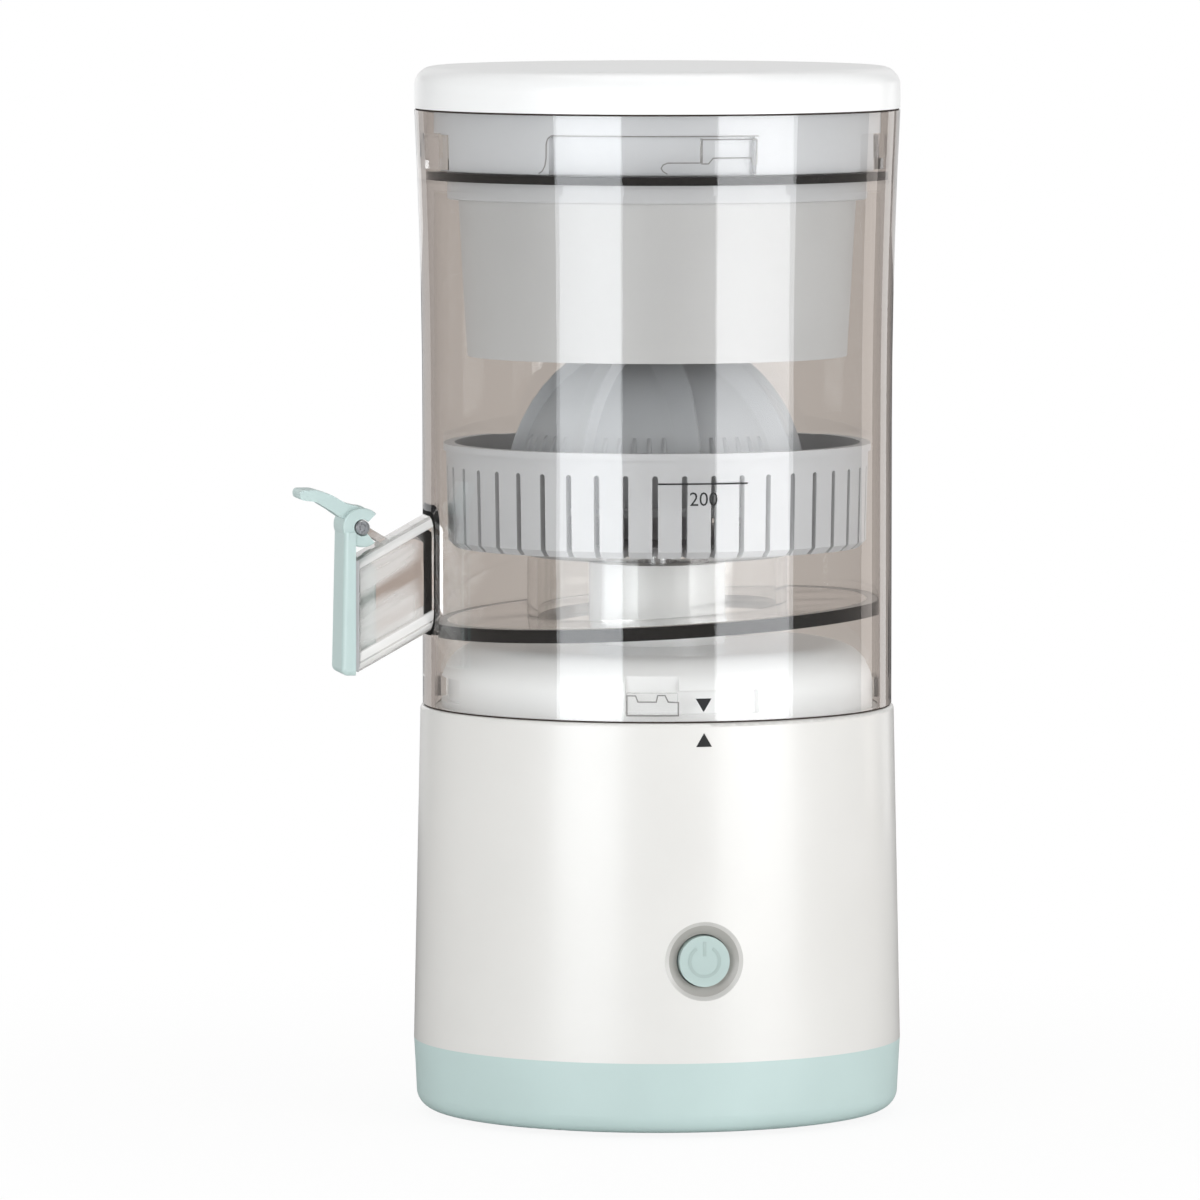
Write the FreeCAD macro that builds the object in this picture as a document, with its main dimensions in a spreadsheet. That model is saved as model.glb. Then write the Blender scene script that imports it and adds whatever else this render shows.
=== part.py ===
import FreeCAD, Part
import math
import os
import Sketcher

doc = FreeCAD.newDocument("citrus_juicer")
sheet = doc.addObject("Spreadsheet::Sheet", "Dims")

# Driving sizes, in millimetres and degrees
SIZES = {
    # Base shell
    "pad_proud": 1.0,
    "pad_margin": 5.2,
    "pad_thick": 2.2,
    "cover_height": 15.2,
    "cover_floor": 2.6,
    "foot_taper": 0.8,
    "cover_round": 4.0,
    "base_radius": 52.5,
    "base_taper": 1.5,
    "base_wall": 2.4,
    "lip_height": 3.0,
    "lip_wall": 1.8,
    "fit_gap": 0.25,
    "housing_height": 72.0,
    "shoulder_round": 0.8,
    "deck_clearance": 1.6,
    "deck_rise": 13.4,
    "deck_round": 8.5,
    "deck_wall": 2.8,
    "boss_radius": 14.65,
    "boss_gap": 1.4,
    # Fasteners
    "screw_radius": 1.5,
    "screw_gap": 0.15,
    "head_radius": 2.8,
    "head_height": 2.0,
    "post_radius": 4.0,
    "cover_screw_inset": 9.3,
    "cover_screw_sink": 9.0,
    "cover_screw_grip": 10.0,
    "boss_height": 14.0,
    "web_width": 4.0,
    "web_bed": 0.72,
    # Gear case
    "gear_post_inset": 7.0,
    "gear_screw_grip": 9.0,
    "plate_thick": 2.4,
    "plate_gap": 3.6,
    "chamber_height": 18.5,
    "fast_module": 0.7,
    "slow_module": 1.0,
    "backlash": 0.14,
    "motor_swing": 130.0,
    "pinion_lift": 0.8,
    "pinion_width": 5.2,
    "wheel_lift": 1.2,
    "wheel_width": 4.8,
    "idler_width": 8.4,
    "output_lift": 0.9,
    "output_width": 7.0,
    "hub_radius": 6.0,
    "play": 0.3,
    "shaft_radius": 3.0,
    "idler_pin_radius": 2.0,
    "running_gap": 0.06,
    "bush_radius": 5.0,
    "bush_stand": 4.0,
    "top_bush_radius": 7.0,
    "top_bush_length": 12.0,
    "shaft_seal_thick": 2.4,
    # Motor
    "motor_radius": 14.0,
    "motor_length": 32.0,
    "motor_lift": 3.3,
    "motor_boss_radius": 5.0,
    "motor_round": 1.5,
    "motor_shaft_radius": 1.15,
    "motor_shaft_sink": 20.0,
    "motor_screw_circle": 9.0,
    "motor_screw_radius": 1.1,
    "motor_screw_grip": 3.0,
    "motor_screw_head": 1.0,
    # Cells
    "cell_radius": 9.1,
    "cell_length": 65.0,
    "cell_gap": 0.3,
    "tray_margin": 1.6,
    "tray_floor": 1.6,
    # Button and boards
    "button_rise": 21.6,
    "button_radius": 5.4,
    "button_sink": 0.15,
    "button_flange": 1.2,
    "button_travel": 0.9,
    "bezel_radius": 8.1,
    "bezel_sink": 0.85,
    "bezel_length": 5.0,
    "bezel_dish": 1.1,
    "bezel_rim": 0.5,
    "bezel_lip": 1.5,
    "bezel_lip_set": 2.9,
    "flange_thick": 1.0,
    "stem_radius": 2.0,
    "stem_length": 1.5,
    "plunger_radius": 1.7,
    "plunger_spare": 0.1,
    "plunger_length": 2.5,
    "switch_size": 6.0,
    "switch_depth": 3.4,
    "board_thick": 1.6,
    "board_width": 32.0,
    "board_height": 18.0,
    "board_edge": 3.0,
    "board_screw_radius": 1.2,
    "board_screw_head": 2.2,
    "board_screw_grip": 6.0,
    "stud_radius": 2.6,
    "charge_rise": 14.0,
    "socket_width": 9.2,
    "socket_height": 3.4,
    "socket_wall": 0.4,
    "socket_bore": 6.0,
    "socket_sink": 2.0,
    # Juice cup
    "seat_gap": 0.4,
    "cup_height": 127.6,
    "shoulder_step": 0.5,
    "cup_flare": 1.7,
    "cup_wall": 2.5,
    "rim_wall": 2.5,
    "flare_rise": 60.0,
    "ledge_drop": 14.6,
    "ledge_height": 2.2,
    "ledge_width": 2.6,
    "rim_seal_thick": 1.8,
    "cup_lug_turn": -12.5,
    "cup_lug_sweep": 13.0,
    "cup_lug_rise": 1.6,
    "cup_lug_height": 4.2,
    "channel_depth": 1.4,
    "channel_gap": 0.4,
    "lock_sweep": 22.0,
    "rim_lug_turn": 6.5,
    "rim_lug_sweep": 13.5,
    "rim_lug_height": 5.1,
    "rim_ledge_sweep": 24.0,
    "rim_ledge_height": 2.4,
    "notch_sweep": 53.0,
    "notch_depth": 1.6,
    "floor_stand": 6.0,
    "floor_thick": 2.8,
    "floor_slope": 3.1,
    "seal_width": 2.8,
    "seal_gap": 0.1,
    "turret_radius": 28.0,
    "turret_stand": 15.0,
    "turret_foot": 3.0,
    "turret_wall": 2.2,
    "chimney_radius": 9.6,
    "chimney_wall": 2.0,
    "chimney_rise": 19.4,
    # Strainer
    "basket_gap": 3.0,
    "basket_flare": 0.4,
    "basket_lip": 0.6,
    "basket_rim_height": 1.5,
    "basket_height": 22.3,
    "basket_wall": 1.8,
    "basket_corner": 1.4,
    "sleeve_wall": 2.0,
    "sleeve_height": 9.0,
    "slot_width": 1.2,
    "slot_height": 17.6,
    "slot_reach": 7.0,
    "drain_set": 2.5,
    "drain_gap": 1.5,
    # Reamer
    "coupling_sink": 5.0,
    "coupling_length": 13.4,
    "coupling_radius": 5.2,
    "reamer_drop": 6.3,
    "reamer_radius": 31.5,
    "reamer_wall": 2.4,
    "reamer_skirt": 5.3,
    "reamer_hub": 8.5,
    "reamer_gap": 1.0,
    "socket_gap": 0.25,
    "rib_turn": 5.0,
    "rib_width": 2.6,
    "rib_proud": 2.0,
    "tip_radius": 5.5,
    "tip_end": 1.6,
    "tip_height": 5.0,
    "collar_proud": 3.0,
    "collar_thick": 2.0,
    # Spout and its cap
    "spout_top": 40.9,
    "spout_bottom": 16.2,
    "spout_length": 15.5,
    "spout_slope": 29.0,
    "spout_width": 14.0,
    "spout_wall": 1.8,
    "spout_round": 3.8,
    "gasket_rim": 0.9,
    "joint_gap": 0.05,
    "pin_set": 0.6,
    "pin_lift": 6.492,
    "pin_radius": 1.6,
    "arm_reach": 6.2,
    "arm_thick": 1.8,
    "arm_bed": 1.0,
    "hinge_width": 10.0,
    "hook_radius": 4.2,
    "hook_start": 242.0,
    "hook_sweep": 214.0,
    "cap_thick": 2.4,
    "cap_swell": 0.7,
    "cap_overhang": 0.5,
    "cap_round": 1.4,
    "cap_edge": 1.1,
    "cap_neck": 1.0,
    "cap_seal_thick": 0.8,
    "cap_seal_gap": 0.15,
    "cap_seal_inset": 0.5,
    "lever_reach": 13.3,
    "lever_rise": 6.0,
    "lever_tip": 2.05,
    "lever_run": 3.6,
    "lever_sag": 0.5,
    "lever_knee": 6.4,
    "lever_knee_low": 3.5,
    "lever_knee_high": 7.0,
    "lever_root": 4.3,
    "lever_root_low": 2.0,
    "lever_brow": 0.9,
    "lever_bend": 4.0,
    "lever_round": 0.9,
    # Lid and press
    "lid_gap": 0.4,
    "lid_height": 9.4,
    "lid_wall": 2.2,
    "lid_crown": 0.6,
    "lid_round": 4.2,
    "lid_corner": 2.0,
    "skirt_gap": 1.7,
    "skirt_wall": 2.6,
    "skirt_floor": 2.8,
    "skirt_tuck": 5.4,
    "press_step": 5.0,
    "press_taper": 2.2,
    "press_wall": 2.2,
    "press_length": 40.0,
    "press_roof": 10.4,
    "grip_height": 8.0,
    "grip_width": 2.0,
    "grip_disc": 1.6,
    "grip_margin": 10.8,
    "grip_edge": 6.0,
    "lid_screw_grip": 6.0,
}

# Tooth counts and how many times each repeated feature occurs
PINION_TEETH = 12
WHEEL_TEETH = 40
IDLER_TEETH = 14
OUTPUT_TEETH = 42
PRESSURE_ANGLE = math.radians(25.0)
FLANK_STEPS = 3
DEDENDUM = 1.25
LUG_COUNT = 4
SLOT_COUNT = 46
DRAIN_COUNT = 23
RIB_COUNT = 8
GRIP_PLATES = 3
LID_SCREW_COUNT = 3
FULL_TURN = 360
HALF_TURN = 180
FRONT = -90
HEX_SIDES = 6
QUARTER_TURN = 90
GEAR_POST_ANGLES = [60, 120, 240, 300]
COVER_SCREW_ANGLES = [45, 135, 225, 315]
LID_SCREW_START = 30
NEAR = 1e-3

TURNS = {
    "z": FreeCAD.Rotation(),
    "y": FreeCAD.Rotation(FreeCAD.Vector(1, 0, 0), -90),
    "-y": FreeCAD.Rotation(FreeCAD.Vector(1, 0, 0), 90),
}
PIECES = []


class Size:
    """A length or an angle kept as spreadsheet text, so that features stay bound to the cells."""

    def __init__(self, text):
        self.text = str(text)

    def __add__(self, other):
        return Size(f"({self.text} + {written(other)})")

    def __radd__(self, other):
        return Size(f"({written(other)} + {self.text})")

    def __sub__(self, other):
        return Size(f"({self.text} - {written(other)})")

    def __rsub__(self, other):
        return Size(f"({written(other)} - {self.text})")

    def __mul__(self, other):
        return Size(f"({self.text} * {written(other)})")

    def __rmul__(self, other):
        return Size(f"({written(other)} * {self.text})")

    def __truediv__(self, other):
        return Size(f"({self.text} / {written(other)})")

    def __neg__(self):
        return Size(f"(0 - {self.text})")

    def __float__(self):
        return float(sheet.evalExpression(self.text))


class Cells:
    """Gives each spreadsheet alias as a Size."""

    def __getattr__(self, alias):
        return Size(f"Dims.{alias}")


def written(value):
    """Returns a Size or a number as expression text."""
    return value.text if isinstance(value, Size) else f"{float(value):.6f}"


def cosine(angle):
    """Returns the cosine of an angle in degrees as a Size."""
    return Size(f"cos({written(angle)})")


def sine(angle):
    """Returns the sine of an angle in degrees as a Size."""
    return Size(f"sin({written(angle)})")


def tangent(angle):
    """Returns the tangent of an angle in degrees as a Size."""
    return Size(f"tan({written(angle)})")


def root(size):
    """Returns the square root of a Size."""
    return Size(f"sqrt({written(size)})")


def bind(item, name, size):
    """Ties one property of an object to the spreadsheet."""
    item.setExpression(name, written(size))


def place(item, at, turn=FreeCAD.Rotation()):
    """Turns an object and ties its position to the spreadsheet."""
    item.Placement = FreeCAD.Placement(FreeCAD.Vector(), turn)
    for axis, value in zip("xyz", at):
        bind(item, f"Placement.Base.{axis}", value)


def piece(item, label):
    """Registers a finished sub-part under the name of its node."""
    item.Label = label
    PIECES.append(item)
    return item


def around(radius, angle):
    """Returns the x and y of a point on a circle about the axis."""
    return radius * cosine(angle), radius * sine(angle)


def cylinder(radius, height, at=(0, 0, 0), along="z"):
    """Adds a bound cylinder that runs along an axis from a point."""
    item = doc.addObject("Part::Cylinder", "round_bar")
    bind(item, "Radius", radius)
    bind(item, "Height", height)
    place(item, at, TURNS[along])
    return item


def block(length, width, height, at=(0, 0, 0), turn=0):
    """Adds a bound box whose corner lies at a point, turned about the upright."""
    item = doc.addObject("Part::Box", "block")
    bind(item, "Length", length)
    bind(item, "Width", width)
    bind(item, "Height", height)
    place(item, at, FreeCAD.Rotation(FreeCAD.Vector(0, 0, 1), float(turn)))
    return item


def fuse(*items):
    """Joins several solids into one object."""
    item = doc.addObject("Part::MultiFuse", "joined")
    item.Shapes = list(items)
    return item


def cut(base, *tools):
    """Takes one or more tools away from a solid."""
    item = doc.addObject("Part::Cut", "cut_piece")
    item.Base = base
    item.Tool = tools[0] if len(tools) == 1 else fuse(*tools)
    return item


def common(first, second):
    """Keeps what two solids share."""
    item = doc.addObject("Part::Common", "shared")
    item.Base = first
    item.Tool = second
    return item


def tube(outer, inner, height, at=(0, 0, 0), along="z"):
    """Adds a bound tube."""
    return cut(cylinder(outer, height, at, along), cylinder(inner, height, at, along))


def sector(outer, inner, bottom, height, start, sweep):
    """Adds part of a ring about the axis between two angles."""
    slice_of = doc.addObject("Part::Cylinder", "sector")
    bind(slice_of, "Radius", outer)
    bind(slice_of, "Height", height)
    bind(slice_of, "Angle", sweep)
    place(slice_of, (0, 0, bottom), FreeCAD.Rotation(FreeCAD.Vector(0, 0, 1), float(start)))
    return cut(slice_of, cylinder(inner, height, (0, 0, bottom)))


def pin(sketch, geometry, end, axis, size):
    """Binds one coordinate of a sketch point to the spreadsheet."""
    value = float(size)
    kind = "DistanceX" if axis == "x" else "DistanceY"
    if abs(value) < 1e-9:
        sketch.addConstraint(Sketcher.Constraint("PointOnObject", geometry, end, -2 if axis == "x" else -1))
        return
    if value > 0:
        rule = Sketcher.Constraint(kind, -1, 1, geometry, end, value)
        text = written(size)
    else:
        rule = Sketcher.Constraint(kind, geometry, end, -1, 1, -value)
        text = f"0 - {written(size)}"
    sketch.setExpression(f"Constraints[{sketch.addConstraint(rule)}]", text)


def draw(body, role, corners, offset=0):
    """Adds a closed, fully bound sketch to a body.

    A corner is (x, y), reached by a line, or (x, y, centre, way, axis), reached along an arc
    about the centre that runs left or right; only the named axis of such a corner is bound.
    """
    sketch = body.newObject("Sketcher::SketchObject", "outline")
    plane = next(item for item in body.Origin.OriginFeatures if item.Role == role)
    sketch.AttachmentSupport = (plane, [""])
    sketch.MapMode = "FlatFace"
    bind(sketch, "AttachmentOffset.Base.z", offset)
    points = [FreeCAD.Vector(float(corner[0]), float(corner[1]), 0) for corner in corners]
    ends = []
    for index, corner in enumerate(corners):
        start, stop = points[index - 1], points[index]
        if len(corner) == 2:
            sketch.addGeometry(Part.LineSegment(start, stop), False)
            ends.append((1, 2))
            continue
        centre = FreeCAD.Vector(float(corner[2][0]), float(corner[2][1]), 0)
        left = corner[3] == "left"
        first, last = (start - centre, stop - centre) if left else (stop - centre, start - centre)
        circle = Part.Circle(centre, FreeCAD.Vector(0, 0, 1), first.Length)
        arc = Part.ArcOfCircle(circle, math.atan2(first.y, first.x), math.atan2(last.y, last.x))
        sketch.addGeometry(arc, False)
        ends.append((1, 2) if left else (2, 1))
    for index, corner in enumerate(corners):
        following = (index + 1) % len(corners)
        sketch.addConstraint(
            Sketcher.Constraint("Coincident", index, ends[index][1], following, ends[following][0]))
        for axis in "xy" if len(corner) == 2 else corner[4]:
            pin(sketch, index, ends[index][1], axis, corner["xy".index(axis)])
        if len(corner) > 2:
            pin(sketch, index, 3, "x", corner[2][0])
            pin(sketch, index, 3, "y", corner[2][1])
    return sketch


def turned(corners):
    """Returns a body made by turning an outline of (radius, height) corners about the axis."""
    body = doc.addObject("PartDesign::Body", "turned_body")
    sketch = draw(body, "XZ_Plane", corners)
    feature = body.newObject("PartDesign::Revolution", "turning")
    feature.Profile = (sketch, [""])
    feature.ReferenceAxis = (sketch, ["V_Axis"])
    feature.Angle = FULL_TURN
    body.Tip = feature
    return body


def slab(corners, width):
    """Returns a body padded evenly to both sides of the upright plane through the axis."""
    body = doc.addObject("PartDesign::Body", "padded_body")
    sketch = draw(body, "XZ_Plane", corners)
    feature = body.newObject("PartDesign::Pad", "padding")
    feature.Profile = (sketch, [""])
    feature.SideType = "Symmetric"
    bind(feature, "Length", width)
    body.Tip = feature
    return body


def pocket(body, role, corners, offset, depth, outward):
    """Cuts a sketched pocket that starts at an offset plane of the body."""
    sketch = draw(body, role, corners, offset)
    feature = body.newObject("PartDesign::Pocket", "pocket")
    feature.Profile = (sketch, [""])
    feature.Reversed = outward
    bind(feature, "Length", depth)
    body.Tip = feature
    return feature


def pattern(body, feature, count):
    """Repeats a feature of a body about its upright axis."""
    doc.recompute()
    item = body.newObject("PartDesign::PolarPattern", "pattern")
    item.Originals = [feature]
    axis = next(part for part in body.Origin.OriginFeatures if part.Role == "Z_Axis")
    item.Axis = (axis, [""])
    item.Angle = FULL_TURN
    item.Occurrences = count
    body.Tip = item


def soften(body, radius, test):
    """Rounds the edges of a body that pass a test."""
    doc.recompute()
    base = body.Tip
    edges = [f"Edge{index + 1}" for index, edge in enumerate(base.Shape.Edges) if test(edge)]
    feature = body.newObject("PartDesign::Fillet", "soft_edge")
    feature.Base = (base, edges)
    bind(feature, "Radius", radius)
    body.Tip = feature


def ring_at(radius, height):
    """Returns a test for the round edge of a turned body at a radius and height."""
    def test(edge):
        middle = edge.BoundBox
        wide = abs(middle.XMax - float(radius)) < NEAR
        return wide and abs(middle.ZMin - float(height)) < NEAR and middle.ZLength < NEAR
    return test


def straight_across(edge):
    """Tells whether an edge of a slab runs straight across it."""
    box = edge.BoundBox
    return box.YLength > max(box.XLength, box.ZLength)


def involute(angle):
    """Returns the involute of an angle in radians."""
    return math.tan(angle) - angle


def gear(module, teeth, width, bottom, phase):
    """Returns a spur gear solid about the origin with a tooth centred on the phase angle."""
    pitch = module * teeth / 2
    base = pitch * math.cos(PRESSURE_ANGLE)
    tip = pitch + module
    root_radius = pitch - DEDENDUM * module
    half = (math.pi * module / 2 - float(d.backlash)) / (2 * pitch)
    low = max(base, root_radius)
    flank = []
    for step in range(FLANK_STEPS + 1):
        radius = low + (tip - low) * step / FLANK_STEPS
        spread = half + involute(PRESSURE_ANGLE) - involute(math.acos(base / radius))
        flank.append((radius, spread))
    flank.insert(0, (root_radius, flank[0][1]))
    side = [(radius, -spread) for radius, spread in flank] + flank[::-1]
    points = []
    for tooth in range(teeth):
        middle = phase + 2 * math.pi * tooth / teeth
        for radius, spread in side:
            angle = middle + spread
            points.append(FreeCAD.Vector(radius * math.cos(angle), radius * math.sin(angle), bottom))
    outline = Part.makePolygon(points + points[:1])
    return Part.Face(outline).extrude(FreeCAD.Vector(0, 0, width))


def solid(shape, label, at=(0, 0, 0)):
    """Registers a shape that has no feature of its own, set at a bound place."""
    item = doc.addObject("Part::Feature", "shaped")
    item.Shape = shape
    place(item, at)
    return piece(item, label)


def screw(radius, length, head, head_height, at):
    """Returns an upright screw whose head lies below the point where its shank starts."""
    x, y, z = at
    return fuse(cylinder(head, head_height, (x, y, z - head_height)), cylinder(radius, length, at))


d = Cells()
for row, (alias, value) in enumerate(SIZES.items(), start=1):
    sheet.set(f"A{row}", alias)
    sheet.set(f"B{row}", str(value))
    sheet.setAlias(f"B{row}", alias)
doc.recompute()

# Radii, each from the one that carries it
base_top_radius = d.base_radius - d.base_taper
cover_foot_radius = d.base_radius - d.foot_taper
cover_screw_circle = d.base_radius - d.cover_screw_inset
pad_radius = cover_screw_circle - d.pad_margin
plate_radius = base_top_radius - d.base_wall - d.plate_gap
gear_post_circle = plate_radius - d.gear_post_inset
cup_radius = base_top_radius - d.shoulder_step
cup_inner = cup_radius - d.cup_wall
cup_rim_radius = cup_radius + d.cup_flare
rim_inner = cup_rim_radius - d.rim_wall
ledge_radius = cup_inner - d.ledge_width
floor_radius = cup_inner - d.seal_width
deck_radius = cup_inner - d.deck_clearance
deck_inner = deck_radius - d.deck_wall
basket_radius = cup_inner - d.basket_gap
basket_mouth = basket_radius + d.basket_flare
basket_rim = basket_mouth + d.basket_lip
drain_inner = d.turret_radius + d.drain_set
drain_outer = basket_radius - d.slot_reach - d.drain_gap
collar_radius = d.reamer_radius + d.collar_proud
skirt_radius = rim_inner - d.skirt_gap
press_radius = skirt_radius - d.press_step
press_mouth = press_radius - d.press_taper
grip_radius = press_radius - d.press_wall - d.grip_margin
lid_screw_circle = grip_radius - d.grip_edge
spout_reach = cup_radius + d.spout_length
pin_reach = spout_reach - d.pin_set
lip_outer = d.base_radius - d.base_wall - d.fit_gap
lip_inner = lip_outer - d.lip_wall

# Levels, each from the piece below it
z_cover = d.pad_proud
z_floor = z_cover + d.cover_floor
z_cells = z_floor + d.tray_floor + d.cell_radius + d.cell_gap
z_joint = z_cover + d.cover_height
z_shoulder = z_joint + d.housing_height
z_deck = z_shoulder + d.deck_rise
z_ceiling = z_deck - d.deck_wall
z_cup = z_shoulder + d.seat_gap
z_level = z_deck + d.floor_stand
z_turret = z_level + d.turret_stand
z_boss = z_turret - d.turret_wall - d.boss_gap
z_chimney = z_turret + d.chimney_rise
z_coupling = z_chimney - d.coupling_sink
z_rim = z_cup + d.cup_height
z_lid = z_rim + d.lid_gap
z_top = z_lid + d.lid_height
z_ledge = z_rim - d.ledge_drop
z_skirt = z_ledge + d.rim_seal_thick + d.play
z_press = z_skirt - d.press_length
z_roof = z_skirt + d.press_roof
z_plate = z_cells + d.cell_radius + d.motor_lift + d.motor_round + d.motor_length
z_chamber = z_plate + d.plate_thick
z_gear_cover = z_chamber + d.chamber_height
z_button = z_joint + d.button_rise
z_charge = z_joint + d.charge_rise

# Places shared by several pieces
post_top = z_joint + d.lip_height + d.fit_gap
gear_post_length = z_ceiling - z_gear_cover - d.plate_thick
side_run = d.base_taper / d.housing_height
button_face = d.base_radius - side_run * d.button_rise
charge_face = d.base_radius - side_run * d.charge_rise
idler_x = d.slow_module * (IDLER_TEETH + OUTPUT_TEETH) / 2
fast_centre = d.fast_module * (PINION_TEETH + WHEEL_TEETH) / 2
motor_x = idler_x + fast_centre * cosine(d.motor_swing)
motor_y = fast_centre * sine(d.motor_swing)
bezel_front = button_face - d.bezel_sink
bezel_back = bezel_front - d.bezel_length
button_stop = bezel_back - d.play
stem_back = button_stop - d.flange_thick
stem_tip = stem_back - d.stem_length
plunger_proud = d.button_travel + d.plunger_spare
switch_front = stem_tip - plunger_proud
board_front = switch_front - d.switch_depth
board_hole = d.board_width / 2 - d.board_edge
screw_bore = d.screw_radius + d.screw_gap
lid_screw_angles = [LID_SCREW_START + FULL_TURN / LID_SCREW_COUNT * index for index in range(LID_SCREW_COUNT)]


def build_bottom():
    """Builds the cover, its pad and its screws."""
    step = z_joint - d.lip_height
    inner = cover_foot_radius - d.base_wall
    cover = turned([
        (0, z_cover), (cover_foot_radius, z_cover), (d.base_radius, z_joint), (lip_outer, z_joint),
        (lip_outer, z_joint + d.lip_height), (lip_inner, z_joint + d.lip_height), (lip_inner, step),
        (inner, step - d.lip_wall), (inner, z_floor), (0, z_floor)])
    soften(cover, d.cover_round, ring_at(cover_foot_radius, z_cover))
    posts, bores, screws = [], [], []
    for angle in COVER_SCREW_ANGLES:
        x, y = around(cover_screw_circle, angle)
        posts.append(cylinder(d.post_radius, post_top - z_cover - d.cover_floor / 2,
                              (x, y, z_cover + d.cover_floor / 2)))
        bores.append(cylinder(d.head_radius + d.fit_gap, d.cover_screw_sink, (x, y, z_cover)))
        bores.append(cylinder(screw_bore, d.cover_height + d.lip_height * 2, (x, y, z_cover)))
        sink = z_cover + d.cover_screw_sink
        length = post_top - sink + d.cover_screw_grip
        screws.append(screw(d.screw_radius, length, d.head_radius, d.head_height, (x, y, sink)))
    recess = cylinder(pad_radius + d.fit_gap, d.pad_thick - d.pad_proud, (0, 0, z_cover))
    piece(cut(fuse(cover, *posts), recess, *bores), "bottom_cover")
    piece(cylinder(pad_radius, d.pad_thick), "anti_slip_pad")
    piece(fuse(*screws), "bottom_screws")


def lock_channels():
    """Returns the bayonet channels cut in the side of the deck."""
    tools = []
    floor = deck_radius - d.channel_depth
    slack = d.channel_gap * HALF_TURN / (math.pi * deck_radius)
    bottom = z_cup + d.cup_lug_rise - d.channel_gap
    for turn in range(LUG_COUNT):
        middle = FRONT + float(d.cup_lug_turn) + turn * FULL_TURN / LUG_COUNT
        start = middle - float(d.cup_lug_sweep / 2 + slack)
        sweep = d.cup_lug_sweep + slack * 2
        tools.append(sector(deck_radius + d.channel_depth, floor, bottom,
                            z_deck + d.channel_depth - bottom, start, sweep))
        tools.append(sector(deck_radius + d.channel_depth, floor, bottom,
                            d.cup_lug_height + d.channel_gap * 2, middle, d.lock_sweep + d.cup_lug_sweep / 2))
    return tools


def build_housing():
    """Builds the white body with its deck, boss, posts and openings."""
    boss_inner = d.boss_radius - d.deck_wall
    boss_step = z_boss - d.top_bush_length - d.shaft_seal_thick
    round_centre = (deck_radius - d.deck_round, z_deck - d.deck_round)
    body = turned([
        (d.base_radius - d.base_wall, z_joint), (d.base_radius, z_joint), (base_top_radius, z_shoulder),
        (deck_radius, z_shoulder), (deck_radius, z_deck - d.deck_round),
        (deck_radius - d.deck_round, z_deck, round_centre, "left", "x"),
        (d.boss_radius, z_deck), (d.boss_radius, z_boss), (d.top_bush_radius, z_boss),
        (d.top_bush_radius, boss_step), (boss_inner, boss_step), (boss_inner, z_ceiling),
        (deck_radius - d.deck_round, z_ceiling), (deck_inner, z_deck - d.deck_round),
        (deck_inner, z_shoulder - d.base_wall), (base_top_radius - d.base_wall, z_shoulder - d.base_wall)])
    soften(body, d.shoulder_round, ring_at(base_top_radius, z_shoulder))
    added, taken = [], lock_channels()
    for angle in GEAR_POST_ANGLES:
        x, y = around(gear_post_circle, angle)
        low = z_ceiling - gear_post_length
        added.append(cylinder(d.post_radius, gear_post_length + d.deck_wall / 2, (x, y, low)))
        taken.append(cylinder(screw_bore, d.gear_screw_grip + d.play, (x, y, low)))
    for angle in COVER_SCREW_ANGLES:
        x, y = around(cover_screw_circle, angle)
        added.append(cylinder(d.post_radius, d.boss_height, (x, y, post_top)))
        half_x, half_y = around(d.web_width / 2, angle - QUARTER_TURN)
        reach = d.base_radius - d.base_wall + d.web_bed - side_run * (d.boss_height + d.lip_height)
        added.append(block(reach - cover_screw_circle, d.web_width, d.boss_height,
                           (x + half_x, y + half_y, post_top), angle))
        taken.append(cylinder(screw_bore, d.cover_screw_grip + d.play, (x, y, post_top)))
    for way, level, face in (("-y", z_button, button_face), ("y", z_charge, charge_face)):
        sign = -1 if way == "-y" else 1
        reach = root(face * face - board_hole * board_hole) - d.base_wall / 2
        for x in (-board_hole, board_hole):
            added.append(cylinder(d.stud_radius, reach - board_front, (x, sign * board_front, level), way))
            taken.append(cylinder(d.board_screw_radius + d.screw_gap, d.board_screw_grip + d.play,
                                  (x, sign * board_front, level), way))
    taken.append(cylinder(d.bezel_radius + d.fit_gap, d.base_radius, (0, 0, z_button), "-y"))
    width = d.socket_width + d.fit_gap * 2
    height = d.socket_height + d.fit_gap * 2
    taken.append(block(width, d.base_radius, height, (-width / 2, 0, z_charge - height / 2)))
    piece(cut(fuse(body, *added), *taken), "base_housing")


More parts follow.
